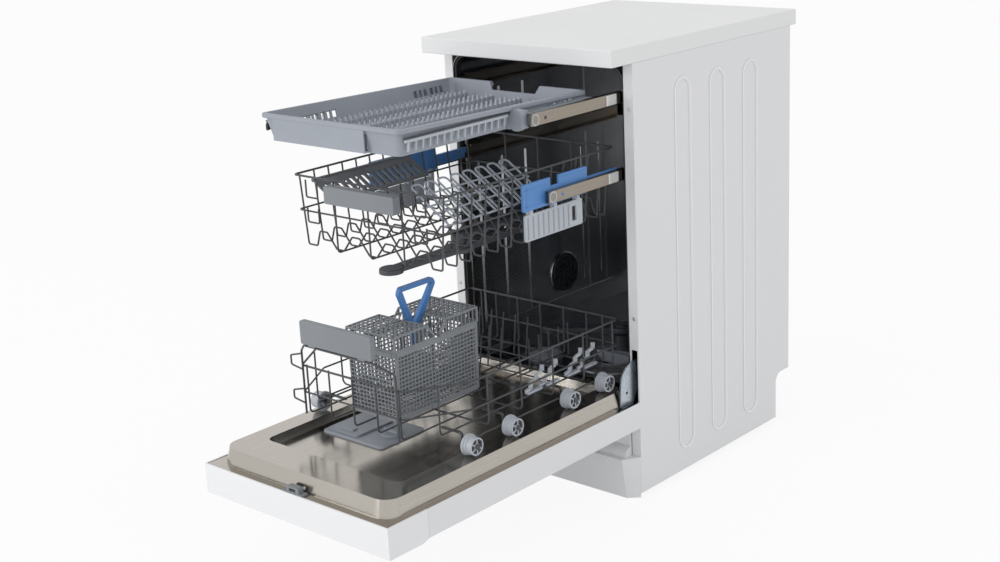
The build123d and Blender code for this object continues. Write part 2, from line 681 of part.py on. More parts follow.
def spray_arm(centre, zs, reach, angle):
    """Two-bladed spray arm with a round hub, a bore and a row of jets."""
    low, high = zs
    plane = Plane(origin=(centre[0], centre[1], low), x_dir=Vector(1, 0, 0).rotate(Axis.Z, angle))
    with BuildPart() as arm:
        with BuildSketch(plane):
            with BuildLine():
                for side in (-1, 1):
                    Line((side * -16, side * -17), (side * reach * 0.8, side * -15))
                    ThreePointArc((side * reach * 0.8, side * -15), (side * reach, 0),
                                  (side * reach * 0.8, side * 11))
                    Line((side * reach * 0.8, side * 11), (side * 16, side * 17))
            make_face()
            Circle(27)
        extrude(amount=high - low)
        fillet(arm.edges().group_by(Axis.Z)[-1], 3)
        hub = Plane(origin=(centre[0], centre[1], high), x_dir=plane.x_dir)
        with BuildSketch(hub):
            Circle(15)
        extrude(amount=4)
        with BuildSketch(Plane(origin=(centre[0], centre[1], low - 1), x_dir=plane.x_dir)):
            Circle(ARM_PIN + ARM_FIT)
        extrude(amount=high - low + 6, mode=Mode.SUBTRACT)
        spine = Plane(origin=(centre[0], centre[1], high - 2), x_dir=plane.x_dir)
        with BuildSketch(spine):
            with Locations(*[(side * reach * (0.25 + 0.13 * step), 0)
                             for side in (-1, 1) for step in range(5)]):
                Circle(3.4)
        extrude(amount=3.2)
    return arm.part


def arm_post(centre, zs, foot=14.0, foot_height=6.0):
    """Round spigot on a wider foot that a spray arm turns on."""
    with BuildPart() as post:
        drum(centre, ARM_PIN, zs)
        drum(centre, foot, (zs[0], zs[0] + foot_height))
    return post.part


def door_skin():
    """White outer door panel, folded up at the sides and the hinge end."""
    with BuildPart() as skin:
        slab((-DOOR_HALF, DOOR_HALF), (FASCIA_SPLIT + 0.4, DOOR_END), (DOOR_OUTER_Z, DOOR_INNER_Z))
        slab((-DOOR_HALF + SKIN, DOOR_HALF - SKIN), (FASCIA_SPLIT, DOOR_END - SKIN),
             (DOOR_OUTER_Z + SKIN, DOOR_INNER_Z + 1), mode=Mode.SUBTRACT)
        for side in (-1, 1):
            slab((side * HINGE_SLOT_X[0], side * HINGE_SLOT_X[1]), (30, DOOR_END + 1),
                 (HINGE_Z - 14, DOOR_INNER_Z + 1), mode=Mode.SUBTRACT)
        fillet(skin.edges().filter_by(Axis.Y).group_by(Axis.Z)[0], 1.2)
    return skin.part


def fascia():
    """Moulded control panel at the door's far end, with a grip pocket and button holes."""
    with BuildPart() as front:
        with BuildSketch(Plane.YZ.offset(-DOOR_HALF)):
            with BuildLine():
                Polyline((FASCIA_END, FASCIA_OUTER_Z), (FASCIA_END, DOOR_INNER_Z),
                         (FASCIA_SPLIT, DOOR_INNER_Z),
                         (FASCIA_SPLIT, DOOR_OUTER_Z), (FASCIA_SPLIT - 16, FASCIA_OUTER_Z), close=True)
            make_face()
        extrude(amount=2 * DOOR_HALF)
        slab((-DOOR_HALF + FASCIA_WALL, DOOR_HALF - FASCIA_WALL),
             (FASCIA_END + FASCIA_WALL, FASCIA_SPLIT + 1),
             (FASCIA_OUTER_Z + FASCIA_WALL + 1.6, DOOR_INNER_Z + 1), mode=Mode.SUBTRACT)
        slab((-75, 75), (-566, -538), (FASCIA_OUTER_Z + 3, 166))
        slab((-72, 72), (-563, -541), (FASCIA_OUTER_Z - 1, 163), mode=Mode.SUBTRACT)
        for x in BUTTON_XS:
            drum((x, BUTTON_Y), BUTTON_RADIUS + 0.5,
                 (FASCIA_OUTER_Z - 1, FASCIA_OUTER_Z + 8), mode=Mode.SUBTRACT)
        slab((98, 152), (-562, -540), (FASCIA_OUTER_Z - 1, FASCIA_OUTER_Z + 8), mode=Mode.SUBTRACT)
        fillet(front.edges().filter_by(Axis.X).group_by(Axis.Z)[0], 1.2)
    return front.part


def button(x):
    """Round key in the control panel, proud of it by a little."""
    with BuildPart() as key:
        drum((x, BUTTON_Y), BUTTON_RADIUS, (FASCIA_OUTER_Z - 1.6, FASCIA_OUTER_Z + 5))
        drum((x, BUTTON_Y), BUTTON_RADIUS + 2.5, (FASCIA_OUTER_Z + 4.4, FASCIA_OUTER_Z + 6.4))
        fillet(key.edges().group_by(Axis.Z)[0], 0.8)
    return key.part


def display_window():
    """Dark lens over the display, set in the control panel."""
    return bar((98.1, 151.9), (-561.9, -540.1), (FASCIA_OUTER_Z + 0.2, FASCIA_OUTER_Z + 3.8))


def frustum(low, high, inset=0.0):
    """Drafted block between two rounded outlines, each given as (half, y0, y1, z, corner)."""
    with BuildPart() as block:
        for half, y0, y1, z, corner in (low, high):
            with BuildSketch(Plane.XY.offset(z)):
                with Locations((0, (y0 + y1) / 2)):
                    RectangleRounded(2 * (half - inset), y1 - y0 - 2 * inset, corner - inset)
        loft()
    return block.part


def block_rounded(half, ys, zs, corner):
    """Upright block with a rounded outline, in the part that is being built."""
    add(frustum((half, *ys, zs[0], corner), (half, *ys, zs[1], corner)))


def door_liner():
    """Stainless inner door: a flat border, a raised pan with drafted walls and a sunk middle."""
    sheet = 1.0
    border = DOOR_INNER_Z - 1
    base = (PAN_BASE_HALF, *PAN_BASE_Y, border, PAN_CORNER)
    crown = (PAN_TOP_HALF, *PAN_TOP_Y, PAN_TOP_Z, PAN_CORNER - 4)
    floor = (POCKET_HALF - POCKET_SLOPE, POCKET_Y[0] + POCKET_SLOPE, POCKET_Y[1] - POCKET_SLOPE,
             POCKET_FLOOR, POCKET_CORNER - 4)
    brim = (POCKET_HALF, *POCKET_Y, PAN_TOP_Z + 0.01, POCKET_CORNER)
    with BuildPart() as liner:
        slab((-LINER_HALF, LINER_HALF), (FASCIA_END + FASCIA_WALL + 0.1, DOOR_END - SKIN - 0.1),
             (border - sheet, border))
        add(frustum(base, crown))
        add(frustum((*base[:3], border - sheet, base[4]), (*crown[:3], PAN_TOP_Z - sheet, crown[4]), sheet),
            mode=Mode.SUBTRACT)
        add(frustum((*floor[:3], floor[3] - sheet, floor[4]), (*brim[:3], PAN_TOP_Z - 0.2, brim[4]), -sheet))
        add(frustum(floor, brim), mode=Mode.SUBTRACT)
        slab(DISPENSER_HOLE_X, DISPENSER_HOLE_Y, (150, PAN_TOP_Z), mode=Mode.SUBTRACT)
        for side in (-1, 1):
            slab((side * HINGE_CUT, side * (DOOR_HALF + 1)), (10, DOOR_END + 1), (150, PAN_TOP_Z),
                 mode=Mode.SUBTRACT)
    return liner.part


def dispenser():
    """Detergent and rinse-aid unit set in the inner door, with its powder well."""
    with BuildPart() as unit:
        slab(DISPENSER_X, DISPENSER_Y, (POCKET_FLOOR + 0.1, POCKET_FLOOR + 4))
        fillet(unit.edges().filter_by(Axis.Z), 9)
        chamfer(unit.edges().group_by(Axis.Z)[-1], 1.4)
        slab((DISPENSER_HOLE_X[0] + 0.4, DISPENSER_HOLE_X[1] - 0.4),
             (DISPENSER_HOLE_Y[0] + 0.4, DISPENSER_HOLE_Y[1] - 0.4), (158, POCKET_FLOOR + 1))
        slab((-124, -58), (-390, -304), (172, POCKET_FLOOR + 5), mode=Mode.SUBTRACT)
        drum(RINSE_CENTRE, 14, (180, POCKET_FLOOR + 5), mode=Mode.SUBTRACT)
    return unit.part


def dispenser_lid():
    """Sliding cover over the powder well."""
    z = POCKET_FLOOR + 4.4
    with BuildPart() as lid:
        slab((-128, -54), (-394, -300), (z, z + 3.4))
        fillet(lid.edges().filter_by(Axis.Z), 6)
        slab((-108, -74), (-384, -374), (z + 3.4, z + 7))
    return lid.part


def rinse_cap():
    """Quarter-turn cap of the rinse-aid reservoir."""
    z = POCKET_FLOOR + 4.4
    with BuildPart() as cap:
        drum(RINSE_CENTRE, 19, (z, z + 4))
        drum(RINSE_CENTRE, 13.6, (z - 12, z))
        slab((RINSE_CENTRE[0] - 15, RINSE_CENTRE[0] + 15), (RINSE_CENTRE[1] - 2.5, RINSE_CENTRE[1] + 2.5),
             (z + 4, z + 9))
    return cap.part


def door_latch():
    """Catch block on the inner door's far border."""
    z = DOOR_INNER_Z - 1
    with BuildPart() as latch:
        slab((-24, 24), (-594, -581), (z + 0.1, z + 3))
        slab((-15, 15), (-594, -583), (z + 3, z + 13))
        fillet(latch.edges().filter_by(Axis.Y).group_by(Axis.Z)[-1], 4)
        slab((-8, 8), (-596, -580), (z + 4, z + 9.5), mode=Mode.SUBTRACT)
    return latch.part


def hinge_arms():
    """Zinc-plated quadrant plate on each side of the door, bored for the hinge pin."""
    xs = (210.0, 213.0)
    low = DOOR_OUTER_Z + SKIN
    with BuildPart() as arm:
        with BuildSketch(Plane.YZ.offset(xs[0])):
            with BuildLine():
                Line((16, low), (19, 226))
                ThreePointArc((19, 226), (28, 256), (50, 272))
                Line((50, 272), (78, 272))
                Line((78, 272), (78, 232))
                Line((78, 232), (54, 190))
                Line((54, 190), (54, low))
                Line((54, low), (16, low))
            make_face()
            with Locations((HINGE_Y, HINGE_Z)):
                Circle(PIN_RADIUS + PIN_FIT, mode=Mode.SUBTRACT)
            with Locations((64, 246), (36, 216)):
                Circle(3, mode=Mode.SUBTRACT)
        extrude(amount=xs[1] - xs[0])
        slab((xs[0] - 34, xs[0] + 1), (-40, 40), (low, low + 3))
        slab(xs, (-40, 20), (low, 170))
    return [arm.part, mirrored(arm.part)]


def control_board():
    """Printed circuit board behind the control panel."""
    with BuildPart() as board:
        slab((60, 205), (-590, -520), (168, 170))
        slab((100, 150), (-580, -545), (170, 178))
        slab((70, 92), (-575, -555), (170, 182))
        drum((180, -560), 9, (170, 184))
    return board.part


def telescopic_rail(z, ys):
    """Right-hand middle rail: a C-section open towards the rack, of a web with a round nose and two flanges."""
    web_x = RAIL_X[1] - RAIL_WALL
    with BuildPart() as web:
        slab((web_x, RAIL_X[1]), ys, (z - RAIL_HALF_HEIGHT, z + RAIL_HALF_HEIGHT))
        fillet(web.edges().filter_by(Axis.Y).group_by(Axis.X)[-1], 1.6)
        slab((web_x, RAIL_X[1] - 0.2), (ys[0] - 3, ys[0]),
             (z - RAIL_HALF_HEIGHT + 1.6, z + RAIL_HALF_HEIGHT - 1.6))
    flanges = []
    for side in (-1, 1):
        flanges.append(bar((RAIL_X[0], web_x - SEAM), ys,
                           (z + side * (RAIL_HALF_HEIGHT - RAIL_WALL), z + side * RAIL_HALF_HEIGHT)))
    return [web.part, *flanges]


def runner(z, ys, inner_x):
    """Box that slides inside a right-hand telescopic rail, from inner_x outwards."""
    reach = RAIL_HALF_HEIGHT - RAIL_WALL - RACK_GAP
    return bar((inner_x, RAIL_X[1] - RAIL_WALL - RACK_GAP), ys, (z - reach, z + reach))


def tray_block(floor_z, rim_z, inset):
    """Drafted block between the tray's level floor and the plane of its tilted rim."""
    half = TRAY_HALF - TRAY_LIP - inset
    length = TRAY_Y[1] - TRAY_Y[0] - 2 * (TRAY_LIP + inset)
    with BuildPart() as block:
        with BuildSketch(Plane(origin=(0, TRAY_MIDDLE, floor_z))):
            RectangleRounded(2 * (half - TRAY_DRAFT), length - 2 * TRAY_DRAFT, TRAY_CORNER)
        with BuildSketch(rim_plane(rim_z)):
            RectangleRounded(2 * half, length, TRAY_CORNER)
        loft()
    return block.part


def rim_plane(z):
    """Plane that rises towards the front as the tray's rim does, at the given height in its middle."""
    return Plane(origin=(0, TRAY_MIDDLE, z)).rotated((-TRAY_TILT, 0, 0))


def tray_rim():
    """Rounded lip around the top of the tray."""
    with BuildPart() as lip:
        with BuildSketch(rim_plane(TRAY_RIM_Z - TRAY_RIM_DEPTH)):
            RectangleRounded(2 * TRAY_HALF, TRAY_Y[1] - TRAY_Y[0], TRAY_CORNER + 1)
        extrude(amount=TRAY_RIM_DEPTH)
        fillet(lip.faces().sort_by(Axis.Z)[-1].edges(), 2.2)
    return lip.part


def runner_head():
    """Round cap and its collar at the front end of a right-hand rail, where the tray's runner leaves it."""
    with BuildPart() as cap:
        slab((160, 184.4), (-193, -182), (741, 777))
        fillet(cap.edges().filter_by(Axis.Y), 9)
    return [cap.part, bar((160, 182), (-182, -172), (744, 774))]


def cutlery_tray():
    """Shallow moulded tray with drafted walls, a lip that rises to the front, floor slots and a grip."""
    grip_y = TRAY_Y[0] + 0.8
    with BuildPart() as tray:
        add(tray_block(TRAY_FLOOR_Z, TRAY_RIM_Z - 1, 0))
        for side in (1, -1):
            slab((side * 145, side * TRAY_RUNNER_X), (-193, 8), (TRAY_FLOOR_Z, TRAY_RAIL_Z + 10))
        add(tray_rim())
        add(tray_block(TRAY_FLOOR_Z + TRAY_WALL, TRAY_RIM_Z + 1, TRAY_WALL), mode=Mode.SUBTRACT)
        with BuildSketch(Plane.XY.offset(TRAY_FLOOR_Z - 1)):
            with Locations((0, TRAY_MIDDLE)):
                with GridLocations(66, 50, 4, 8):
                    RectangleRounded(54, 38, 3)
        extrude(amount=TRAY_WALL + 2, mode=Mode.SUBTRACT)
        for y in (-330, -60):
            for step in range(2):
                for side in (-1, 1):
                    slab((side * 140, side * 165), (y + 42 * step - 42, y + 42 * step - 6),
                         (TRAY_FLOOR_Z + 12, TRAY_FLOOR_Z + 25), mode=Mode.SUBTRACT)
        with BuildSketch(Plane.XZ.offset(-TRAY_Y[1] - 2)):
            with BuildLine():
                Polyline((-62, TRAY_RIM_Z), (-52, TRAY_RIM_Z - 20), (51, TRAY_RIM_Z - 20), (62, TRAY_RIM_Z),
                         close=True)
            make_face()
        extrude(amount=26, mode=Mode.SUBTRACT)
        with BuildSketch(Plane.XY.offset(TRAY_FLOOR_Z + 1)):
            with BuildLine():
                Polyline((-146, -440), (-132, grip_y), (TRAY_GRIP_END, grip_y),
                         (TRAY_GRIP_END, -440), close=True)
            make_face()
        extrude(amount=TRAY_RIM_Z - TRAY_FLOOR_Z - 3)
        slab((TRAY_GRIP_END - 60, TRAY_GRIP_END + 1), (grip_y + 2.4, grip_y + 7.4),
             (TRAY_FLOOR_Z + 4, TRAY_RIM_Z - 8), mode=Mode.SUBTRACT)
        for x in (-99, -33, 33, 99):
            slab((x - 1.2, x + 1.2), (-430, -16), (TRAY_FLOOR_Z + 1, TRAY_BLADE_TOP))
    fittings = [runner(TRAY_RAIL_Z, (-172, 8), TRAY_RUNNER_X), *runner_head()]
    return [tray.part, *fittings, *[mirrored(piece) for piece in fittings]]


def half_rim(half, ys, z, wire):
    """Right half of a rectangular wire rim, bent at two corners; the left half mirrors it."""
    return rod([(RIM_JOIN, ys[0], z), (half, ys[0], z), (half, ys[1], z), (RIM_JOIN, ys[1], z)], wire, 8)


def both(piece):
    """A right-hand piece and its mirror image."""
    return [piece, mirrored(piece)]


def upper_hoop(y):
    """One wire of the upper basket, down one side, along the waved floor and up the other side."""
    top_x = UP_HALF - (RIM_WIRE + HOOP_WIRE) / UP_COS
    wave = []
    for centre, height in ((120, UP_CREST_Z), (80, UP_LOW_Z), (40, UP_CREST_Z), (0, UP_LOW_Z)):
        wave += [(centre + 9, height), (centre - 9, height)]
    right = [(top_x, UP_RIM_Z + 1), (UP_FLOOR_HALF, UP_LOW_Z), (UP_FLOOR_HALF - 22, UP_LOW_Z)] + wave[:-1]
    left = [(-x, z) for x, z in reversed(right)]
    return rod([(x, y, z) for x, z in right + left], HOOP_WIRE, 4.0)


def upper_basket():
    """Wire basket: rim, middle rail, fourteen hoops and the long wires under the floor."""
    low = UP_LOW_Z - 2 * HOOP_WIRE
    reach = RIM_WIRE + HOOP_WIRE
    wires = both(half_rim(UP_HALF, UP_Y, UP_RIM_Z, RIM_WIRE))
    wires += both(half_rim(UP_MID_HALF, (UP_Y[0] + 0.3, UP_Y[1] - 0.3), UP_MID_Z, HOOP_WIRE))
    hoop_ys = [52.0] + [63.0 - UP_PITCH * count for count in range(1, UP_HOOPS)]
    wires += [upper_hoop(y) for y in hoop_ys]
    for x in (-80, 0, 80):
        front, rear = UP_Y[0] + reach, UP_Y[1] - reach
        wires.append(rod([(x, front, UP_RIM_Z + 1), (x, front, low), (x, rear, low), (x, rear, UP_RIM_Z + 1)],
                         HOOP_WIRE, 6))
    return wires


def upper_handle():
    """Flat grip with rounded ends on the front of the upper basket."""
    with BuildPart() as grip:
        slab((-83, 83), (-401, UP_Y[0] - RIM_WIRE), (630, 661))
        fillet(grip.edges().filter_by(Axis.Y), 4)
        fillet(grip.faces().sort_by(Axis.Y)[0].edges(), 1.5)
        slab((-72, 72), (-396, UP_Y[0]), (628, 655), mode=Mode.SUBTRACT)
    return grip.part


def basket_lifts():
    """Height adjuster on each side: a notched plate, its tail and the block that runs in the upper rail."""
    inner, outer = 180.6, 184.4
    with BuildPart() as plate:
        slab((inner, outer), (-198, -25), (604, 651))
        fillet(plate.edges().filter_by(Axis.X), 3)
        slab((inner - 1, outer + 1), (-125, -103), (636, 652), mode=Mode.SUBTRACT)
    tail = bar((inner, outer), (-25, 60), (622, 632))
    block = bar((outer, RAIL_X[1] - RAIL_WALL - RACK_GAP), (-130, 60), (UPPER_RAIL_Z - 8, UPPER_RAIL_Z + 8))
    right = [plate.part, tail, block]
    return right + [mirrored(piece) for piece in right]


def guide_plates():
    """Ribbed plate on each side of the upper basket that the adjuster moves along."""
    rail_side = UP_MID_HALF + HOOP_WIRE
    with BuildPart() as plate:
        slab((177.0, 180.2), (-190, -36), (550, 596))
        fillet(plate.edges().filter_by(Axis.X), 3)
        for step in range(9):
            slab((175.6, 177.5), (-182 + 17 * step, -179 + 17 * step), (556, 590))
        slab((176, 181), (-64, -52), (560, 586), mode=Mode.SUBTRACT)
        for y in (-176, -112, -50):
            slab((rail_side, 180.2), (y, y + 8), (594, 610))
    return [plate.part, mirrored(plate.part)]


def cup_shelf_right():
    """Wire cup shelf of U-shaped loops on a long hinge wire, tilted up."""
    ys = (-370.0, -107.0)
    across = Vector(SHELF_INNER[0] - SHELF_HINGE[0], 0, SHELF_INNER[1] - SHELF_HINGE[1])
    length = across.length
    way = across.normalized()
    normal = Vector(-way.Z, 0, way.X)
    if normal.Z < 0:
        normal = normal * -1

    def spot(along, y, lift=0.0):
        point = Vector(SHELF_HINGE[0], y, SHELF_HINGE[1]) + way * along + normal * lift
        return (point.X, point.Y, point.Z)

    wire = TINE_WIRE
    pieces = [rod([spot(0, ys[0]), spot(0, ys[1])], wire),
              rod([spot(length * 0.5, ys[0]), spot(length * 0.5, ys[1])], wire)]
    step = (ys[1] - ys[0] - 16) / 8
    for count in range(8):
        y = ys[0] + 8 + step * (count + 0.14)
        pieces.append(rod([spot(-1, y, 2 * wire), spot(length, y, 2 * wire),
                           spot(length, y + step * 0.72, 2 * wire),
                           spot(-1, y + step * 0.72, 2 * wire)], wire, 8))
    return pieces


def cup_shelf_left():
    """Moulded comb shelf folded down along the left side."""
    ys = (-357.0, -122.0)
    plane = Plane(origin=(COMB_HINGE[0], ys[0], COMB_HINGE[1]), x_dir=(50, 0, -32), z_dir=(32, 0, 50))
    run = 58.0
    with BuildPart() as comb:
        with BuildSketch(plane):
            with Locations((run / 2 + 2, (ys[1] - ys[0]) / 2)):
                Rectangle(run, ys[1] - ys[0])
        extrude(amount=3)
        with BuildSketch(plane):
            with Locations((run / 2 + 6, (ys[1] - ys[0]) / 2)):
                with GridLocations(1, 14.5, 1, 15):
                    SlotOverall(run - 20, 8)
        extrude(amount=4, mode=Mode.SUBTRACT)
        with Locations(plane * Location((0, (ys[1] - ys[0]) / 2, 1.5), (90, 0, 0))):
            Cylinder(3.4, ys[1] - ys[0])
    return comb.part


def spray_feed():
    """Water pipe under the upper basket, with the spigot of the middle arm."""
    z = 529.6
    with BuildPart() as pipe:
        with Locations((0, (ARM_CENTRE[1] + UP_Y[1] + 4) / 2, z)):
            Cylinder(8.4, UP_Y[1] + 4 - ARM_CENTRE[1], rotation=(90, 0, 0))
        drum(ARM_CENTRE, 13, (UP_ARM_Z[1] + 4.6, z + 8.4))
        drum(ARM_CENTRE, ARM_PIN, (UP_ARM_Z[0] - 1, z))
        drum(ARM_CENTRE, 10, (UP_ARM_Z[0] - 3.4, UP_ARM_Z[0] - 0.6))
    return pipe.part


def half_nose(half, ys, inset, z, wire):
    """Right half of the lower basket's outline: a straight side and a cut corner at the front."""
    front, rear = ys
    run = Vector(LOW_HALF - LOW_NOSE, LOW_SHOULDER_Y - LOW_Y[0])
    normal = Vector(run.Y, -run.X).normalized()
    reach = normal.X * LOW_HALF + normal.Y * LOW_SHOULDER_Y - inset
    shoulder = (reach - normal.X * half) / normal.Y
    nose = (reach - normal.Y * front) / normal.X
    return rod([(RIM_JOIN, rear, z), (half, rear, z), (half, shoulder, z), (nose, front, z),
                (RIM_JOIN, front, z)],
               wire, 10)


def lower_axles():
    """Cranked rod for every wheel, with a washer pressed on its end."""
    pieces = []
    height = LOW_LONG_Z - HOOP_WIRE - AXLE_RADIUS
    for y in WHEEL_YS:
        with BuildPart() as axle:
            add(rod([(118, y, height), (164, y, height), (164, y, WHEEL_Z),
                     (199, y, WHEEL_Z)], AXLE_RADIUS, 5))
            drum_x((197.6, 199.4), y, WHEEL_Z, 5)
            drum_x((174.7, 175.6), y, WHEEL_Z, 4)
        pieces += [axle.part, mirrored(axle.part)]
    return pieces


def tine(x, y, base, top, lean=0.0):
    """One upright rack tine, leaning towards the rear by the given amount."""
    return rod([(x, y, base), (x, y + lean, top)], TINE_WIRE)


def lower_basket():
    """Wire basket: rim, second rail, hoops, long floor wires, tines, ears and wheel axles."""
    reach = RIM_WIRE + HOOP_WIRE
    front, rear = LOW_Y[0] + reach, LOW_Y[1] - reach
    wires = both(half_nose(LOW_HALF, LOW_Y, 0, LOW_RIM_Z, RIM_WIRE))
    mid_x = LOW_HALF - reach
    mid_ys = (front - 2 * HOOP_WIRE, rear + 2 * HOOP_WIRE)
    wires += both(half_nose(mid_x + 2 * HOOP_WIRE, mid_ys, reach - 2 * HOOP_WIRE, LOW_MID_Z, HOOP_WIRE))
    for y in LOW_HOOP_YS:
        wires.append(rod([(mid_x, y, LOW_RIM_Z + 1), (mid_x, y, LOW_FLOOR_Z), (-mid_x, y, LOW_FLOOR_Z),
                          (-mid_x, y, LOW_RIM_Z + 1)], HOOP_WIRE, 10))
    for x in LOW_LONG_XS:
        for side in (-1, 1) if x else (1,):
            wires.append(rod([(side * x, front, LOW_RIM_Z + 1), (side * x, front, LOW_LONG_Z),
                              (side * x, rear, LOW_LONG_Z), (side * x, rear, LOW_RIM_Z + 1)], HOOP_WIRE, 8))
    for side in (-1, 1):
        x = side * LOW_CORNER_X
        wires.append(rod([(x, LOW_CORNER_Y, LOW_RIM_Z + 1), (x, LOW_CORNER_Y, LOW_LONG_Z),
                          (x, rear, LOW_LONG_Z), (x, rear, LOW_RIM_Z + 1)], HOOP_WIRE, 8))
        wires.append(rod([(side * 173, WHEEL_YS[0] - 12, WHEEL_Z + AXLE_RADIUS + HOOP_WIRE),
                          (side * 173, WHEEL_YS[-1] + 12, WHEEL_Z + AXLE_RADIUS + HOOP_WIRE)], HOOP_WIRE))
    wires += lower_axles() + handle_loop()
    cross_z = LOW_LONG_Z + HOOP_WIRE + TINE_WIRE
    for y in LOW_TINE_YS:
        wires.append(rod([(-152, y, cross_z), (152, y, cross_z)], TINE_WIRE))
        for x in LOW_TINE_XS:
            wires.append(tine(x, y, cross_z + TINE_WIRE, cross_z + 76, 10))
    return wires


def lower_handle():
    """Grip plate of the lower basket, with two clips that hold it on its wire loop."""
    y = LOW_GRIP_Y
    low, high = LOW_GRIP_Z
    with BuildPart() as grip:
        slab((-86, 86), (y - 5, y + 5), (low, high))
        fillet(grip.edges().filter_by(Axis.Y), 4)
        fillet(grip.faces().sort_by(Axis.Y)[0].edges(), 1.5)
        slab((-78, 78), (y - 1, y + 6), (low + 7, high - 7), mode=Mode.SUBTRACT)
        for x in (-60, 60):
            slab((x - 8, x + 8), (y - 4, y + 4), (low - 2, low + 1))
    return grip.part


def handle_loop():
    """Wire loop that rises from the front of the lower basket to the grip, with two ears beside it."""
    leg_y = LOW_Y[0] - 2 * RIM_WIRE
    bar_z = LOW_GRIP_Z[0] - 2 - RIM_WIRE
    leg = [(LOW_LOOP_X, leg_y, 262), (LOW_LOOP_X, leg_y, 378), (84, LOW_GRIP_Y, bar_z)]
    pieces = [rod([(-a, b, c) for a, b, c in leg] + leg[::-1], RIM_WIRE, 8)]
    ear_y = leg_y - RIM_WIRE - HOOP_WIRE
    for low, high in ((283, 310), (345, 374)):
        pieces.append(rod([(-LOW_LOOP_X + 4, ear_y, low), (-LOW_LOOP_X - 25, ear_y, low + 4),
                           (-LOW_LOOP_X - 25, ear_y, high - 8),
                           (-LOW_LOOP_X + 4, ear_y, high)], HOOP_WIRE, 4))
    return pieces


def wheel(side):
    """Rack wheel with a wide inner flange, a stepped tread and six windows between its spokes."""
    near, far = WHEEL_X
    with BuildPart() as roller:
        drum_x((near, near + 4), 0, 0, WHEEL_RADIUS)
        drum_x((near + 4, near + 9), 0, 0, WHEEL_RADIUS - 1.6)
        drum_x((near + 9, far), 0, 0, WHEEL_RADIUS - 3)
        drum_x((near - 1, near + 3), 0, 0, WHEEL_RADIUS - 5, mode=Mode.SUBTRACT)
        drum_x((far - 3, far + 1), 0, 0, WHEEL_RADIUS - 5.4, mode=Mode.SUBTRACT)
        drum_x(WHEEL_X, 0, 0, 6)
        with BuildSketch(Plane.YZ.offset(near - 1)):
            with PolarLocations(9.4, 6):
                Polygon((-2.2, -1.4), (2.6, -3.4), (2.6, 3.4), (-2.2, 1.4), align=None)
        extrude(amount=far - near + 2, mode=Mode.SUBTRACT)
        drum_x((near - 1, far + 1), 0, 0, AXLE_RADIUS + AXLE_FIT, mode=Mode.SUBTRACT)
    return roller.part if side > 0 else mirrored(roller.part)


def wheel_pair(y):
    """Left and right wheel on the same line."""
    return [wheel(side).moved(Location((0, y, WHEEL_Z))) for side in (1, -1)]


def tine_rows():
    """Folding tine row on its own hinge wire at the right of the lower basket."""
    base = FOLD_Z
    pieces = [rod([(FOLD_X, -120, base), (FOLD_X, 36, base)], TINE_WIRE)]
    for step in range(6):
        y = -112 + 28 * step
        pieces.append(rod([(FOLD_X, y, base + TINE_WIRE), (FOLD_X, y, base + 62)], TINE_WIRE))
    return pieces


def cutlery_basket():
    """Tapered basket with thin walls, a rolled rim, a drained floor and a divider."""
    low = (CUTLERY_HALF - 3, CUTLERY_Y[0] + 3, CUTLERY_Y[1] - 3, CUTLERY_Z[0], 6)
    high = (CUTLERY_HALF, CUTLERY_Y[0], CUTLERY_Y[1], CUTLERY_Z[1], 7)
    wall = 2.0
    rim = 1.4
    with BuildPart() as basket:
        add(frustum(low, high))
        block_rounded(CUTLERY_HALF + rim, (CUTLERY_Y[0] - rim, CUTLERY_Y[1] + rim),
                      (CUTLERY_Z[1] - 5, CUTLERY_Z[1]),
                      8)
        add(frustum((*low[:3], CUTLERY_Z[0] + wall, low[4]), (*high[:3], CUTLERY_Z[1] + 0.01, high[4]), wall),
            mode=Mode.SUBTRACT)
        slab((-CUTLERY_HALF + 3, CUTLERY_HALF - 3), (CUTLERY_MIDDLE - 1, CUTLERY_MIDDLE + 1),
             (CUTLERY_Z[0] + 1, CUTLERY_Z[1] - 2))
        slab((-BOW_HALF - 0.2, BOW_HALF + 0.2), (CUTLERY_MIDDLE - 2, CUTLERY_MIDDLE + 2),
             (BOW_FOOT, CUTLERY_Z[1]),
             mode=Mode.SUBTRACT)
        with BuildSketch(Plane.XY.offset(CUTLERY_Z[0] - 1)):
            with Locations((0, CUTLERY_MIDDLE)):
                with GridLocations(60, 108, 2, 2):
                    Circle(3)
        extrude(amount=wall + 2, mode=Mode.SUBTRACT)
    return basket.part


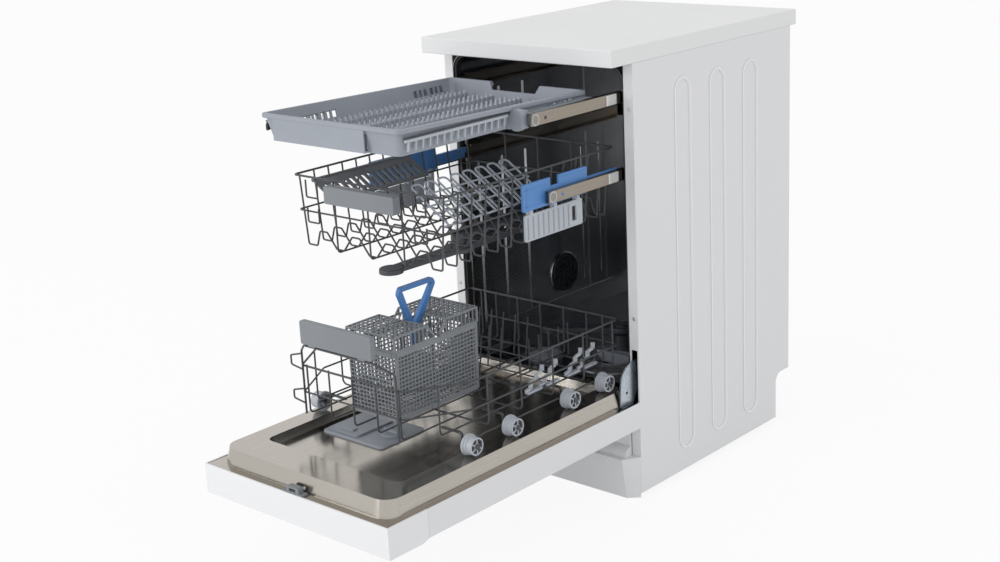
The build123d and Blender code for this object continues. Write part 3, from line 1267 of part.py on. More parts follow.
def cutlery_lid(far_y, hinge_y):
    """Slotted lid with a slanted end next to the handle, so that both lids can open at once."""
    base = CUTLERY_Z[1] + 0.4
    top = base + LID_HEIGHT
    wall = 2.4
    way = 1 if hinge_y > far_y else -1
    with BuildPart() as lid:
        for inset, mode in ((0.0, Mode.ADD), (wall, Mode.SUBTRACT)):
            far, near = far_y + way * inset, hinge_y - way * inset
            low = base - inset
            with BuildSketch(Plane.YZ.offset(-CUTLERY_HALF + inset)):
                with BuildLine():
                    Polyline((far, low), (far, top - inset), (near - way * LID_SLANT, top - inset),
                             (near, base + 6),
                             (near, low), close=True)
                make_face()
            extrude(amount=2 * (CUTLERY_HALF - inset), mode=mode)
            if not inset:
                upright = lid.edges().filter_by(Axis.Z).sort_by(Axis.Y)
                fillet(upright[:2] if way > 0 else upright[-2:], 8)
                fillet(lid.faces().sort_by(Axis.Z)[-1].edges(), 3)
        with BuildSketch(Plane.XY.offset(top - 4)):
            with Locations((0, (far_y + hinge_y) / 2 - way * 8)):
                with GridLocations(27, 26, 4, 3):
                    Rectangle(22, 21)
        extrude(amount=6, mode=Mode.SUBTRACT)
        drum_x((-CUTLERY_HALF + 12, CUTLERY_HALF - 12), hinge_y, base + KNUCKLE + 0.2, KNUCKLE)
        slab((-BOW_HALF - 1, BOW_HALF + 1), (hinge_y - BOW_SLOT, hinge_y + BOW_SLOT), (base - 1, top + 1),
             mode=Mode.SUBTRACT)
    return lid.part


def cutlery_handle():
    """Carrying bow in the middle plane of the cutlery basket, on a foot that holds the divider."""
    near, far = CUTLERY_MIDDLE - 5, CUTLERY_MIDDLE + 5
    with BuildPart() as bow:
        with BuildSketch(Plane.YZ.offset(-BOW_HALF)) as outline:
            with BuildLine():
                Polyline((near, BOW_BASE), (-326, 464), (-320, 475), (-240, 475),
                         (-234, 464), (far + 6, BOW_BASE),
                         close=True)
            make_face()
            fillet(outline.vertices().sort_by(Axis.Y)[-4:], 6)
            with BuildLine():
                Polyline((CUTLERY_MIDDLE + 1, BOW_BASE + 9), (-316, 467), (-243, 467), close=True)
            make_face(mode=Mode.SUBTRACT)
        extrude(amount=2 * BOW_HALF)
    return [bow.part, bar((-BOW_HALF, BOW_HALF), (near, far), (BOW_FOOT, BOW_BASE))]


save(worktop(), "worktop")
save(side_panel(), "side_panel_right")
save(mirrored(side_panel()), "side_panel_left")
save(back_panel(), "back_panel")
save(base_tray(), "base_tray")
save(kickplate(), "kickplate")
save(tub(), "tub")
save(door_gasket(), "door_gasket")
save(water_duct(), "water_duct")
save(ceiling_sprayer(), "ceiling_sprayer")
save(drying_vent(), "drying_vent")
save(sump(), "sump")
save(filter_plate(), "filter_plate")
save(filter_cup(), "filter_cup")
save(salt_cap(), "salt_cap")
save(rack_channels(), "rack_channels")
save(latch_strike(), "latch_strike")
save(hinge_brackets(), "hinge_brackets")
save(feet(), "feet")
save(cabinet_screws(), "cabinet_screws")
save(wash_pumps(), "wash_pumps")
save(salt_container(), "salt_container")
save(inlet_valve(), "inlet_valve")
save(spray_arm(LOW_ARM, LOW_ARM_Z, LOW_ARM_REACH, LOW_ARM_ANGLE), "lower_spray_arm")
save(door_skin(), "door_skin")
save(fascia(), "fascia")
save(door_liner(), "door_liner")
save(dispenser(), "dispenser")
save(dispenser_lid(), "dispenser_lid")
save(rinse_cap(), "rinse_cap")
save(door_latch(), "door_latch")
save(hinge_arms(), "hinge_arms")
save(control_board(), "control_board")
save(display_window(), "display_window")
save(button(BUTTON_XS[0]), "power_button")
save(button(BUTTON_XS[1]), "program_button")
save(cutlery_tray(), "cutlery_tray")
save(telescopic_rail(TRAY_RAIL_Z, TRAY_RAIL_Y), "tray_rail_right")
save([mirrored(piece) for piece in telescopic_rail(TRAY_RAIL_Z, TRAY_RAIL_Y)], "tray_rail_left")
save(telescopic_rail(UPPER_RAIL_Z, UPPER_RAIL_Y), "upper_rail_right")
save([mirrored(piece) for piece in telescopic_rail(UPPER_RAIL_Z, UPPER_RAIL_Y)], "upper_rail_left")
save(upper_basket(), "upper_basket")
save(upper_handle(), "upper_handle")
save(basket_lifts(), "basket_lifts")
save(guide_plates(), "guide_plates")
save(cup_shelf_right(), "cup_shelf_right")
save(cup_shelf_left(), "cup_shelf_left")
save(spray_feed(), "spray_feed")
save(spray_arm(ARM_CENTRE, UP_ARM_Z, ARM_REACH, 90), "upper_spray_arm")
save(lower_basket(), "lower_basket")
save(lower_handle(), "lower_handle")
for number, wheel_y in enumerate(WHEEL_YS, start=1):
    save(wheel_pair(wheel_y), f"wheels_{number}")
save(tine_rows(), "tine_row")
save(cutlery_basket(), "cutlery_basket")
save(cutlery_lid(-398, -298), "cutlery_lid_front")
save(cutlery_lid(-187, -287), "cutlery_lid_rear")
save(cutlery_handle(), "cutlery_handle")
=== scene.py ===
import json
from math import cos, radians, sin

import bpy
from mathutils import Matrix, Vector


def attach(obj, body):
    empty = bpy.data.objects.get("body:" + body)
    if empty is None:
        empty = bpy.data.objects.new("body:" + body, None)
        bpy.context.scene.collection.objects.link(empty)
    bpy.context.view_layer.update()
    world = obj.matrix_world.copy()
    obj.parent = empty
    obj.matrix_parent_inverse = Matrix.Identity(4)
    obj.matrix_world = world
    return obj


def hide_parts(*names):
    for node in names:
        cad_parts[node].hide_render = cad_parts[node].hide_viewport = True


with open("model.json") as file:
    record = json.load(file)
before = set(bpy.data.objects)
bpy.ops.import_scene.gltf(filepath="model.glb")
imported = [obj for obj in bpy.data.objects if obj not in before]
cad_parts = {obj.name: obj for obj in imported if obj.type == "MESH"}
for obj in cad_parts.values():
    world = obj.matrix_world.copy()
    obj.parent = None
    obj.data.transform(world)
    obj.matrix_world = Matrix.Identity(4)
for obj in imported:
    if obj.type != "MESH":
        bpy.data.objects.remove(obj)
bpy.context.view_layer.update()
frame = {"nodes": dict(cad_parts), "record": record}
nodes = frame["nodes"]
for packed in list(bpy.data.materials):
    bpy.data.materials.remove(packed)

# Photo camera
CAMERA_SPOT = (1.8629, -2.1215, 1.2446)
CAMERA_AZIMUTH = 0.73493
CAMERA_ELEVATION = 0.28817
CAMERA_ROLL = -0.0491
CAMERA_LENS = 56.61
SENSOR = 36.0


def shader(name, color, rough, metallic=0.0, coat=0.0, specular=0.5):
    """A plain material with its main values set."""
    material = bpy.data.materials.new(name)
    material.use_nodes = True
    bsdf = material.node_tree.nodes["Principled BSDF"]
    bsdf.inputs["Base Color"].default_value = (*color, 1)
    bsdf.inputs["Roughness"].default_value = rough
    bsdf.inputs["Metallic"].default_value = metallic
    bsdf.inputs["Coat Weight"].default_value = coat
    bsdf.inputs["Specular IOR Level"].default_value = specular
    return material, bsdf


def link(material, source, target):
    material.node_tree.links.new(source, target)


def texture_space(material, stretch=(1, 1, 1)):
    """Coordinates of the piece itself, stretched."""
    tree = material.node_tree
    coords = tree.nodes.new("ShaderNodeTexCoord")
    mapping = tree.nodes.new("ShaderNodeMapping")
    mapping.inputs["Scale"].default_value = stretch
    link(material, coords.outputs["Object"], mapping.inputs["Vector"])
    return mapping.outputs["Vector"]


def noise(material, scale, stretch=(1, 1, 1), detail=3.0):
    texture = material.node_tree.nodes.new("ShaderNodeTexNoise")
    texture.inputs["Scale"].default_value = scale
    texture.inputs["Detail"].default_value = detail
    link(material, texture_space(material, stretch), texture.inputs["Vector"])
    return texture.outputs["Fac"]


def remap(material, value, low, high, start=0.3, end=0.7):
    node = material.node_tree.nodes.new("ShaderNodeMapRange")
    node.inputs["From Min"].default_value = start
    node.inputs["From Max"].default_value = end
    node.inputs["To Min"].default_value = low
    node.inputs["To Max"].default_value = high
    link(material, value, node.inputs["Value"])
    return node.outputs["Result"]


def bump(material, bsdf, height, strength, distance):
    node = material.node_tree.nodes.new("ShaderNodeBump")
    node.inputs["Strength"].default_value = strength
    node.inputs["Distance"].default_value = distance
    link(material, height, node.inputs["Height"])
    link(material, node.outputs["Normal"], bsdf.inputs["Normal"])


def shade(material, bsdf, value, dark, light):
    """Base colour that wanders between two tones."""
    mix = material.node_tree.nodes.new("ShaderNodeMix")
    mix.data_type = "RGBA"
    mix.inputs["A"].default_value = (*dark, 1)
    mix.inputs["B"].default_value = (*light, 1)
    link(material, value, mix.inputs["Factor"])
    link(material, mix.outputs["Result"], bsdf.inputs["Base Color"])


def enamel(name, color, rough, grain=900.0, depth=0.00004):
    material, bsdf = shader(name, color, rough, coat=0.15)
    bump(material, bsdf, noise(material, grain), 0.12, depth)
    soft = remap(material, noise(material, 6.0), rough - 0.04, rough + 0.05)
    link(material, soft, bsdf.inputs["Roughness"])
    return material


def plastic(name, color, rough, grain=1500.0, spread=0.06):
    material, bsdf = shader(name, color, rough)
    dark = tuple(c * (1 - spread) for c in color)
    light = tuple(min(1.0, c * (1 + spread)) for c in color)
    shade(material, bsdf, remap(material, noise(material, 9.0), 0, 1), dark, light)
    bump(material, bsdf, noise(material, grain), 0.2, 0.00005)
    return material


def steel(name, color, rough, stretch=(1, 60, 60), spread=0.12, depth=0.00004):
    """Metal with fine lines along one axis."""
    material, bsdf = shader(name, color, rough, metallic=1.0)
    lines = noise(material, 14.0, stretch, 5.0)
    dark = tuple(c * (1 - spread) for c in color)
    light = tuple(min(1.0, c * (1 + spread)) for c in color)
    shade(material, bsdf, remap(material, lines, 0, 1), dark, light)
    link(material, remap(material, noise(material, 5.0), rough * 0.8, rough * 1.25), bsdf.inputs["Roughness"])
    bump(material, bsdf, lines, 0.15, depth)
    return material


# Materials of the record's slots
white_board = enamel("white_board", (0.77, 0.775, 0.78), 0.42, 1200)
white_steel = enamel("white_steel", (0.74, 0.745, 0.76), 0.33)
white_plastic = enamel("white_plastic", (0.78, 0.785, 0.80), 0.38)
tub_steel = steel("tub_steel", (0.34, 0.35, 0.36), 0.2, (40, 1, 1), 0.1)
door_steel = steel("door_steel", (0.44, 0.412, 0.37), 0.17, (60, 1, 60), 0.07, 0.00002)
filter_steel = steel("filter_steel", (0.55, 0.55, 0.56), 0.3)
rail_steel = steel("rail_steel", (0.30, 0.265, 0.222), 0.2, (60, 1, 60), 0.1)
zinc_sheet = steel("zinc_sheet", (0.45, 0.50, 0.55), 0.34, (20, 20, 20), 0.2)
screw_steel = steel("screw_steel", (0.6, 0.6, 0.6), 0.35, (20, 20, 20), 0.1)
black_plastic = plastic("black_plastic", (0.02, 0.02, 0.022), 0.5)
dark_plastic = plastic("dark_plastic", (0.045, 0.05, 0.06), 0.45)
grey_plastic = plastic("grey_plastic", (0.29, 0.315, 0.36), 0.46)
pale_plastic = plastic("pale_plastic", (0.45, 0.48, 0.53), 0.45)
blue_plastic = plastic("blue_plastic", (0.06, 0.20, 0.50), 0.36)
coated_wire = plastic("coated_wire", (0.05, 0.052, 0.058), 0.4)
pale_wire = plastic("pale_wire", (0.32, 0.35, 0.4), 0.42)
black_rubber = plastic("black_rubber", (0.015, 0.015, 0.015), 0.7)
board_green = plastic("board_green", (0.02, 0.16, 0.06), 0.45)
display_glass = plastic("display_glass", (0.01, 0.01, 0.012), 0.08)
SLOTS = {material.name: material for material in (
    white_board, white_steel, white_plastic, tub_steel, door_steel, filter_steel, rail_steel, zinc_sheet,
    screw_steel, black_plastic, dark_plastic, grey_plastic, pale_plastic, blue_plastic, coated_wire,
    pale_wire, black_rubber, board_green, display_glass)}

# Tones of single nodes and of pieces that only the scene has
handle_grey = plastic("handle_grey", (0.20, 0.215, 0.235), 0.42)
basket_grey = plastic("basket_grey", (0.22, 0.235, 0.255), 0.42)
comb_grey = plastic("comb_grey", (0.12, 0.128, 0.14), 0.42)
# Painted highlight: a bright steel tone laid where the tub, rails, vent and door show highlights and
# reflections
painted_highlight_steel = steel("painted_highlight_steel", (0.80, 0.79, 0.77), 0.14, (60, 1, 60), 0.05)
# Painted highlight: a brighter enamel for the lit edge of the side panel beads
painted_highlight_bead = enamel("painted_highlight_bead", (0.90, 0.90, 0.91), 0.3)
lift_blue = plastic("lift_blue", (0.085, 0.235, 0.54), 0.4)


def dress(piece, material):
    """Puts one material on a piece."""
    piece.data.materials.clear()
    piece.data.materials.append(material)


for part in frame["record"]["subparts"]:
    dress(nodes[part["node"]], SLOTS[part["material_slot"]])
    nodes[part["node"]].data.set_sharp_from_angle(angle=radians(32))
    for polygon in nodes[part["node"]].data.polygons:
        polygon.use_smooth = True

# Nodes whose tone differs a little from the rest of their slot
OWN_TONES = {"upper_handle": handle_grey, "lower_handle": handle_grey, "door_latch": handle_grey,
             "basket_lifts": lift_blue, "cup_shelf_left": comb_grey}
for name, tone in OWN_TONES.items():
    dress(nodes[name], tone)

# The wires of the right cup shelf have a thicker coat
COAT = 0.0003
coating = nodes["cup_shelf_right"].modifiers.new("coating", "DISPLACE")
coating.mid_level = 0
coating.strength = COAT

MM = 0.001


def spot_mm(point):
    return Vector(point) * MM


def solid_piece(name, corners, faces, material, body, bevel=0.0):
    """A mesh from corners in millimetres, riding on one body."""
    mesh = bpy.data.meshes.new(name)
    mesh.from_pydata([spot_mm(corner) for corner in corners], [], faces)
    mesh.update()
    piece = bpy.data.objects.new(name, mesh)
    bpy.context.scene.collection.objects.link(piece)
    dress(piece, material)
    if bevel:
        edge = piece.modifiers.new("soft_edges", "BEVEL")
        edge.width = bevel * MM
        edge.segments = 2
        edge.limit_method = "ANGLE"
    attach(piece, body)
    return piece


BOX_FACES = ((0, 3, 2, 1), (4, 5, 6, 7), (0, 1, 5, 4), (1, 2, 6, 5), (2, 3, 7, 6), (3, 0, 4, 7))


def strut(start, end, wide, deep, side=(0, 0, 1)):
    """Eight corners of a straight bar between two points, wide across and deep along side."""
    start, end = Vector(start), Vector(end)
    along = (end - start).normalized()
    facing = Vector(side) - along * along.dot(Vector(side))
    facing = facing.normalized() * (deep / 2)
    across_bar = along.cross(facing).normalized() * (wide / 2)
    ring = (-across_bar - facing, across_bar - facing, across_bar + facing, -across_bar + facing)
    return [start + turn for turn in ring] + [end + turn for turn in ring]


def bars(name, struts, material, body, bevel=0.0):
    """One piece made of many straight bars."""
    corners, faces = [], []
    for one in struts:
        base = len(corners)
        corners += one
        faces += [tuple(base + index for index in face) for face in BOX_FACES]
    return solid_piece(name, corners, faces, material, body, bevel)


def bend_route(points, radius, steps=5):
    """The route with each inner corner replaced by a short arc."""
    route = [Vector(points[0])]
    for before, corner, after in zip(points, points[1:], points[2:]):
        corner = Vector(corner)
        back = (Vector(before) - corner)
        onward = (Vector(after) - corner)
        cut = min(radius, back.length * 0.45, onward.length * 0.45)
        first = corner + back.normalized() * cut
        last = corner + onward.normalized() * cut
        for step in range(steps + 1):
            t = step / steps
            route.append(first.lerp(corner, t).lerp(corner.lerp(last, t), t))
    route.append(Vector(points[-1]))
    return route


def wires(name, routes, radius, material, body, bend=5.0):
    """One piece made of round wires along the given routes."""
    curve = bpy.data.curves.new(name, "CURVE")
    curve.dimensions = "3D"
    curve.bevel_depth = radius * MM
    curve.bevel_resolution = 3
    curve.use_fill_caps = True
    for points in routes:
        route = bend_route(points, bend) if len(points) > 2 else [Vector(point) for point in points]
        spline = curve.splines.new("POLY")
        spline.points.add(len(route) - 1)
        for place, point in zip(spline.points, route):
            place.co = (*(point * MM), 1)
    piece = bpy.data.objects.new(name, curve)
    bpy.context.scene.collection.objects.link(piece)
    dress(piece, material)
    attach(piece, body)
    return piece


def steps_between(low, high, count):
    return [low + (high - low) * step / (count - 1) for step in range(count)]


def arc(x, y, z, wide, high, angles):
    """Points of an upright arc at one x, around (y, z), with its half width along y and its half height."""
    return [(x, y + wide * cos(radians(a)), z + high * sin(radians(a))) for a in angles]


ACROSS = (1, 0, 0)
DEEPWAYS = (0, 1, 0)
SIDES = (-1, 1)


# Cutlery tray: slats across the floor openings, rows of upright fins and bars in the wall windows
TRAY_FLOOR = 743.4
TRAY_LEAN = 9.0 / 39.5
TRAY_ENDS = (-424, -26)
FIN_ROWS = ((-130, 15), (-99, 19), (-66, 14), (-33, 17), (0, 14), (33, 17), (66, 14), (99, 19), (130, 15))
WINDOW_FRONTS = (-372, -330, -102, -60)
WINDOW_Z = (754, 769)


def tray_wall(z):
    """Middle of the drafted side wall at height z."""
    return 149.1 + (z - TRAY_FLOOR) * TRAY_LEAN


slats = []
for y in steps_between(*TRAY_ENDS, 40):
    slats.append(strut((-132, y, TRAY_FLOOR + 1), (132, y, TRAY_FLOOR + 1), 2.6, 2.0))
bars("tray_slats", slats, grey_plastic, "cutlery_tray")
fins = []
for x, high in FIN_ROWS:
    for y in steps_between(*TRAY_ENDS, 33):
        fins.append(strut((x, y, TRAY_FLOOR + 1), (x, y + 3, TRAY_FLOOR + high), 1.5, 4.0, ACROSS))
bars("tray_fins", fins, pale_plastic, "cutlery_tray")
posts = []
for first in WINDOW_FRONTS:
    for y in (first + 12, first + 24):
        for side in SIDES:
            ends = [(side * tray_wall(z), y, z) for z in WINDOW_Z]
            posts.append(strut(*ends, 4.2, 2.4, ACROSS))
bars("tray_window_posts", posts, grey_plastic, "cutlery_tray")

# Ledge with ribs under each side of the tray's lip, a dark bar as painted shadow in the groove above it and
# the clip at the front
ribs, groove_shadows = [], []
for side in SIDES:
    ribs.append(strut((side * 159.6, -440, 767.5), (side * 159.6, -200, 767.5), 5.0, 4.0, ACROSS))
    for y in steps_between(-432, -206, 15):
        ribs.append(strut((side * 157.2, y, 750), (side * 159.2, y, 767), 3.0, 4.0, ACROSS))
    groove_shadows.append(strut((side * 161.4, -444, 772.0), (side * 161.4, -198, 772.0), 2.2, 3.4, ACROSS))
bars("tray_side_ribs", ribs, pale_plastic, "cutlery_tray", 0.4)
bars("tray_groove_shadow", groove_shadows, dark_plastic, "cutlery_tray")
clip = [strut((-158.6, -447, 762), (-158.6, -440, 762), 5, 9),
        strut((-160.4, -443.5, 756), (-160.4, -443.5, 770), 3, 3, ACROSS)]
bars("tray_clip", clip, black_plastic, "cutlery_tray", 0.5)

# Cutlery basket: the closed walls become a tall lattice between solid rims
BASKET_LOW, BASKET_HIGH = 263.4, 388.0
BASKET_HALF = 58.6
BASKET_ENDS = (-398.6, -186.4)
BASKET_MIDDLE = (BASKET_ENDS[0] + BASKET_ENDS[1]) / 2
TAPER = 3.0 / (BASKET_HIGH - BASKET_LOW)


def draw_in(z):
    """How far the tapered wall stands in at height z, at the middle of its thickness."""
    return (BASKET_HIGH - z) * TAPER + 1.0


def wall_band(z, wide, deep):
    """Four bars around the basket at height z, cut at the rounded corners, and four corner bars."""
    inside = draw_in(z)
    x, front, rear = BASKET_HALF - inside, BASKET_ENDS[0] + inside, BASKET_ENDS[1] - inside
    ring = [(x - 5, front), (x, front + 5), (x, rear - 5), (x - 5, rear), (5 - x, rear), (-x, rear - 5),
            (-x, front + 5), (5 - x, front)]
    band = []
    for (x1, y1), (x2, y2) in zip(ring, ring[1:] + ring[:1]):
        out = ((x1 + x2) / 2, (y1 + y2) / 2 - BASKET_MIDDLE, 0)
        band.append(strut((x1, y1, z), (x2, y2, z), wide, deep, out))
    return band


def upright_bar(place, wide, deep, side, top):
    """A bar from near the floor up to top below the rim; place gives its x and y at height z."""
    ends = [(*place(z), z) for z in (BASKET_LOW + 2, BASKET_HIGH - top)]
    return strut(*ends, wide, deep, side)


lattice = wall_band(BASKET_HIGH - 4.5, 9.0, 2.8) + wall_band(BASKET_LOW + 4, 8.0, 2.8)
for z in steps_between(BASKET_LOW + 14, BASKET_HIGH - 15, 14):
    lattice += wall_band(z, 2.0, 1.6)
for x in steps_between(-52, 52, 13):
    for end, way in zip(BASKET_ENDS, (1, -1)):
        lattice.append(upright_bar(lambda z: (x, end + way * draw_in(z)), 1.8, 1.8, DEEPWAYS, 2))
for y in steps_between(-391, -194, 25):
    for side in SIDES:
        lattice.append(upright_bar(lambda z: (side * (BASKET_HALF - draw_in(z)), y), 1.8, 1.8, ACROSS, 2))
for y in (-391, -194):
    for side in SIDES:
        lattice.append(upright_bar(lambda z: (side * (BASKET_HALF - draw_in(z) - 1), y), 7.0, 3.2, ACROSS, 1))
FLOOR_GRID_Z = BASKET_LOW + 1.4
for x in steps_between(-52, 52, 14):
    lattice.append(strut((x, -394, FLOOR_GRID_Z), (x, -191, FLOOR_GRID_Z), 1.8, 1.8))
for y in steps_between(-394, -191, 24):
    lattice.append(strut((-54, y, FLOOR_GRID_Z), (54, y, FLOOR_GRID_Z), 1.8, 1.8))
for x in steps_between(-50, 50, 13):
    if abs(x) > 6:
        lattice.append(upright_bar(lambda z: (x, BASKET_MIDDLE), 1.8, 2.0, DEEPWAYS, 3))
for z in (BASKET_LOW + 30, BASKET_LOW + 60, BASKET_LOW + 86):
    lattice.append(strut((-54, BASKET_MIDDLE, z), (54, BASKET_MIDDLE, z), 2.4, 2.0, DEEPWAYS))
basket = bars("cutlery_lattice", lattice, basket_grey, "cutlery_basket")
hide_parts("cutlery_basket")


# The lids: heights of base and crown, the slanted end, and half the width and the length of the handle's gap
LID_Z = (389.8, 414.9)
LID_SLANT = 17.0
BOW_GAP = 6.0
BOW_NOTCH = 61.0


def lid_lattice(name, node, far, near):
    """Open grid lid with tall side windows, a slanted end at the hinge and a gap for the handle."""
    low, crown = LID_Z
    half = BASKET_HALF - 1.4
    gap = BOW_GAP
    way = 1 if near > far else -1
    slant = near - way * LID_SLANT
    notch = near - way * BOW_NOTCH
    struts = []
    for side in SIDES:
        x = side * half
        struts.append(strut((x, far, low), (x, near, low), 3.2, 2.8, ACROSS))
        struts.append(strut((x, far, crown), (x, slant, crown), 3.2, 2.8, ACROSS))
        struts.append(strut((x, near, low + 4), (x, slant, crown), 3.2, 2.8, ACROSS))
        struts.append(strut((side * gap, near, low + 1), (x, near, low + 1), 3.2, 3.0, DEEPWAYS))
        struts.append(strut((side * gap, slant, crown), (x, slant, crown), 2.4, 2.6))
        struts.append(strut((side * gap, near, low + 3), (side * gap, slant, crown), 2.4, 2.4, ACROSS))
        struts.append(strut((side * gap, slant, crown), (side * gap, notch, crown), 2.4, 2.6))
        for y in steps_between(far + way * 2, slant, 9):
            struts.append(strut((x, y, low), (x, y, crown), 2.2, 2.0, ACROSS))
    struts.append(strut((-gap, notch, crown), (gap, notch, crown), 2.4, 2.6))
    for z in (low, crown):
        struts.append(strut((-half, far, z), (half, far, z), 3.2, 2.8, DEEPWAYS))
    for x in steps_between(-half, half, 11):
        struts.append(strut((x, far, low), (x, far, crown), 2.2, 2.0, DEEPWAYS))
        begin = slant if abs(x) > gap else notch
        struts.append(strut((x, begin, crown), (x, far, crown), 2.2, 2.2))
        if abs(x) > gap:
            struts.append(strut((x, near, low + 4), (x, slant, crown), 2.0, 2.0, ACROSS))
    for y in steps_between(far, slant, 8):
        stretches = ((-half, half),) if abs(y - near) > BOW_NOTCH else ((-half, -gap), (gap, half))
        for first, last in stretches:
            struts.append(strut((first, y, crown), (last, y, crown), 2.2, 2.2))
    piece = bars(name, struts, basket_grey, node)
    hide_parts(node)


lid_lattice("lid_grid_front", "cutlery_lid_front", -396.6, -299.6)
lid_lattice("lid_grid_rear", "cutlery_lid_rear", -188.4, -285.4)

# Rail ends: flat pale ring around the nose and a pin, thin enough to pass into the channels
RAIL_FACE = 195.77
RAILS = (("upper", 619.0, -132.0, blue_plastic), ("tray", 758.0, -170.0, dark_plastic))
LABELS = ((1, "right"), (-1, "left"))
for side, label in LABELS:
    for rail, z, y, pin_color in RAILS:
        turn = arc(side * RAIL_FACE, y, z, 8.4, 9.0, range(0, 361, 15))
        ring = [strut(first, last, 2.8, 0.3, ACROSS) for first, last in zip(turn, turn[1:])]
        bars(f"{rail}_ring_{label}", ring, pale_plastic, f"{rail}_rail_{label}")
        pin = [(side * 195.0, y + 26, z), (side * 195.92, y + 26, z)]
        wires(f"{rail}_pin_{label}", [pin], 3.2, pin_color, f"{rail}_rail_{label}")

# Painted reflection: bright steel plates on the rail ends next to the cabinet, where the chrome mirrors the
# white cabinet front
for side, label in LABELS:
    for rail, z, _, _ in RAILS:
        plate = [strut((side * RAIL_FACE, 22, z), (side * RAIL_FACE, 60, z), 18.0, 0.3, ACROSS)]
        bars(f"{rail}_painted_reflection_{label}", plate, painted_highlight_steel, f"{rail}_rail_{label}")

# Wheels: a black ring as painted shade in the recess and six pale spokes across it
WHEEL_YS = (-355.0, -251.0, -94.0, 6.0)
WHEEL_Z = 240
RECESS_X, SPOKE_X = 194.2, 196.8
for number, y in enumerate(WHEEL_YS, 1):
    recess_shades = [arc(side * RECESS_X, y, WHEEL_Z, 9.2, 9.2, range(0, 361, 20)) for side in SIDES]
    wires(f"wheel_recess_shade_{number}", recess_shades, 2.8, black_plastic, f"wheels_{number}", 0.2)
    spokes = []
    for side in SIDES:
        for a in range(30, 391, 60):
            ends = [arc(side * SPOKE_X, y, WHEEL_Z, reach, reach, (a,))[0] for reach in (4.0, 13.2)]
            spokes.append(strut(*ends, 2.2, 1.2, ACROSS))
    bars(f"wheel_spokes_{number}", spokes, pale_plastic, f"wheels_{number}")

# Folding clips of the lower basket, beside the rear wheels
for number, y in enumerate((-150.0, -112.0, -40.0, -4.0), 1):
    zigzag = [(146 + 6 * (step % 2), y + 8 * step - 20, 268 + 6 * step) for step in range(7)]
    links = [strut(first, last, 8.0, 4.0) for first, last in zip(zigzag, zigzag[1:])]
    links.append(strut((149, y - 20, 266), (149, y + 30, 266), 9.0, 4.0))
    bars(f"fold_clip_{number}", links, pale_plastic, "lower_basket", 0.6)

# Braces of the right cup shelf and ears at the front of the upper basket
SHELF_HINGE, SHELF_INNER = (161.4, 615), (80, 668)
braces = []
for share in (0.28, 0.72):
    x, z = [hinge + (inner - hinge) * share for hinge, inner in zip(SHELF_HINGE, SHELF_INNER)]
    braces.append([(x, -366, z + 3), (x, -110, z + 3)])
wires("shelf_braces", braces, 1.5, pale_wire, "cup_shelf_right")
EAR_Y = -386.6
ears = []
for x in (-128.0, 128.0):
    for low, high in ((588, 614), (632, 662)):
        corners = ((-14, high), (-14, low), (14, low), (14, high))
        ears.append([(x + aside, EAR_Y, z) for aside, z in corners])
wires("basket_ears", ears, 1.6, coated_wire, "upper_basket", 4)

# Ribs of the guide plates and lines on the height adjusters, thin enough to slide past their neighbours
GUIDE_FACE, LIFT_FACE = 180.3, 184.42
LIFT_LINES = (((-194, 612), (-142, 612)), ((-194, 641), (-129, 641)), ((-188, 607), (-188, 647)),
              ((-100, 646), (-30, 646)), ((-60, 607), (-28, 607)))
plate_ribs, lift_marks = [], []
for side in SIDES:
    for y in steps_between(-182, -74, 9):
        plate_ribs.append(strut((side * GUIDE_FACE, y, 553), (side * GUIDE_FACE, y, 592), 3.4, 0.4, ACROSS))
    for ends in LIFT_LINES:
        lift_marks.append(strut(*[(side * LIFT_FACE, y, z) for y, z in ends], 1.8, 0.2, ACROSS))
bars("guide_ribs", plate_ribs, grey_plastic, "upper_basket")
bars("lift_marks", lift_marks, blue_plastic, "basket_lifts")

# Painted highlight on the side panels: a bright bead line around each pressed loop, where the raised bead
# catches the light
LOOP_X, LOOP_HALF = 225.2, 24
LOOP_TOP, LOOP_LOW = 750, 78
for side, label in LABELS:
    beads = []
    for centre in (209.0, 321.0, 433.0):
        bead = arc(side * LOOP_X, centre, LOOP_TOP, LOOP_HALF, LOOP_HALF, range(0, 181, 15))
        bead += arc(side * LOOP_X, centre, LOOP_LOW, -LOOP_HALF, -LOOP_HALF, range(0, 181, 15))
        beads.append(bead + bead[:1])
    wires(f"panel_beads_{label}", beads, 1.3, painted_highlight_bead, "cabinet", 0.2)

# Vent in the tub wall: a bright steel ring as painted highlight around it and curved blades
VENT = (369, 300)
wires("vent_highlight_ring", [arc(-201.6, *VENT, 43, 43, range(0, 361, 10))], 1.8, painted_highlight_steel, "cabinet", 0.2)
BLADE_CURL = 2.2
blades = []
for turn in range(0, 360, 45):
    curl = [(reach, turn + BLADE_CURL * reach) for reach in range(8, 38, 4)]
    blades.append([arc(-193.0, *VENT, reach, reach, (angle,))[0] for reach, angle in curl])
wires("vent_blades", blades, 1.5, dark_plastic, "cabinet", 0.2)

# Painted highlights: bright steel lines on the tub's walls and along its wheel ledges, where the polished tub
# shows highlights
TUB_FACE = 203.0
TUB_HIGHLIGHTS = (((120.0, 270), (120.0, 560)), ((440.0, 270), (440.0, 560)), ((500.0, 270), (500.0, 560)),
             ((84, 240), (84, 740)), ((90, 246), (540, 246)))
lines = [[(side * TUB_FACE, y, z) for y, z in ends] for side in SIDES for ends in TUB_HIGHLIGHTS]
wires("tub_highlights", lines, 1.1, painted_highlight_steel, "cabinet", 1)

# Painted highlight: a bright steel bead around the raised pan of the inner door, drawing the light line along
# its edge
BEAD_OUTLINE = ((-200, -30), (-200, -556), (-188, -569), (188, -569), (200, -556), (200, -30))
wires("door_highlight_bead", [[(x, y, 203.0) for x, y in BEAD_OUTLINE]], 1.3, painted_highlight_steel, "door", 14)

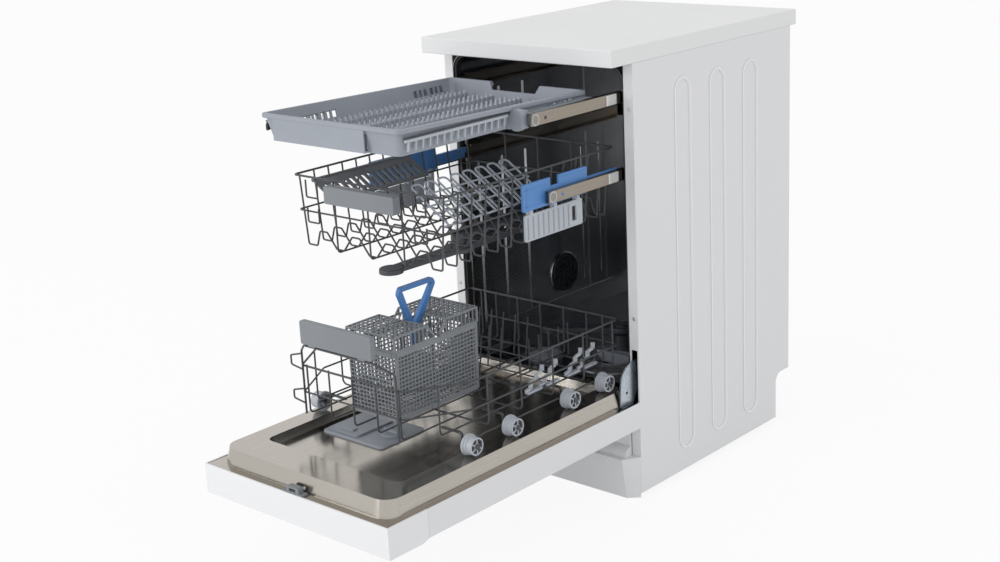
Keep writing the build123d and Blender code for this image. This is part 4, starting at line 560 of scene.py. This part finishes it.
# Floor and light
FLOOR_GLOW = 0.9
WORLD_GLOW = 0.8
bpy.ops.mesh.primitive_plane_add(size=40, location=(0, 0, -0.0005))
floor = bpy.context.object
floor.name = "floor"


def seen_rays(tree):
    """1 for rays that show the background: to the camera, off metal and through glass."""
    rays = tree.nodes.new("ShaderNodeLightPath")
    total = rays.outputs["Is Camera Ray"]
    for kind in ("Is Glossy Ray", "Is Transmission Ray"):
        larger = tree.nodes.new("ShaderNodeMath")
        larger.operation = "MAXIMUM"
        tree.links.new(total, larger.inputs[0])
        tree.links.new(rays.outputs[kind], larger.inputs[1])
        total = larger.outputs["Value"]
    return total


floor_paint, floor_bsdf = shader("floor_paint", (0.88, 0.88, 0.88), 0.8, specular=0.05)
tree = floor_paint.node_tree
glow = tree.nodes.new("ShaderNodeEmission")
glow.inputs["Color"].default_value = (1, 1, 1, 1)
glow.inputs["Strength"].default_value = 1.0
share = tree.nodes.new("ShaderNodeMath")
share.operation = "MULTIPLY"
share.inputs[1].default_value = FLOOR_GLOW
tree.links.new(seen_rays(tree), share.inputs[0])
blend = tree.nodes.new("ShaderNodeMixShader")
tree.links.new(share.outputs["Value"], blend.inputs["Fac"])
tree.links.new(floor_bsdf.outputs["BSDF"], blend.inputs[1])
tree.links.new(glow.outputs["Emission"], blend.inputs[2])
tree.links.new(blend.outputs["Shader"], tree.nodes["Material Output"].inputs["Surface"])
dress(floor, floor_paint)

world = bpy.data.worlds.new("studio")
bpy.context.scene.world = world
world.use_nodes = True
tree = world.node_tree
background = tree.nodes["Background"]
background.inputs["Color"].default_value = (1, 1, 1, 1)
background.inputs["Strength"].default_value = WORLD_GLOW
seen = tree.nodes.new("ShaderNodeBackground")
seen.inputs["Color"].default_value = (1, 1, 1, 1)
seen.inputs["Strength"].default_value = 1.0
pick = tree.nodes.new("ShaderNodeMixShader")
tree.links.new(seen_rays(tree), pick.inputs["Fac"])
tree.links.new(background.outputs["Background"], pick.inputs[1])
tree.links.new(seen.outputs["Background"], pick.inputs[2])
tree.links.new(pick.outputs["Shader"], tree.nodes["World Output"].inputs["Surface"])


def panel_light(name, spot, aim, width, height, power):
    light = bpy.data.lights.new(name, "AREA")
    light.shape = "RECTANGLE"
    light.size = width
    light.size_y = height
    light.energy = power
    lamp = bpy.data.objects.new(name, light)
    lamp.location = spot
    lamp.rotation_euler = (Vector(aim) - Vector(spot)).to_track_quat("-Z", "Y").to_euler()
    bpy.context.scene.collection.objects.link(lamp)
    return lamp


panel_light("key", (-1.7, -4.2, 1.5), (0, 0, 0.5), 2.6, 2.2, 62)
panel_light("side", (4.4, -1.2, 2.2), (0, 0.1, 0.4), 2.6, 2.6, 18)

# Camera
across = Vector((cos(CAMERA_AZIMUTH), sin(CAMERA_AZIMUTH), 0))
ahead = Vector((-sin(CAMERA_AZIMUTH) * cos(CAMERA_ELEVATION), cos(CAMERA_AZIMUTH) * cos(CAMERA_ELEVATION),
                -sin(CAMERA_ELEVATION)))
upward = across.cross(ahead)
right = across * cos(CAMERA_ROLL) + upward * sin(CAMERA_ROLL)
above = upward * cos(CAMERA_ROLL) - across * sin(CAMERA_ROLL)
lens = bpy.data.cameras.new("camera")
lens.lens = CAMERA_LENS
lens.sensor_width = SENSOR
lens.sensor_fit = "HORIZONTAL"
lens.clip_end = 100
camera = bpy.data.objects.new("camera", lens)
camera.matrix_world = Matrix.Translation(CAMERA_SPOT) @ Matrix((right, above, -ahead)).transposed().to_4x4()
bpy.context.scene.collection.objects.link(camera)
bpy.context.scene.camera = camera
bpy.context.scene.view_settings.view_transform = "Standard"
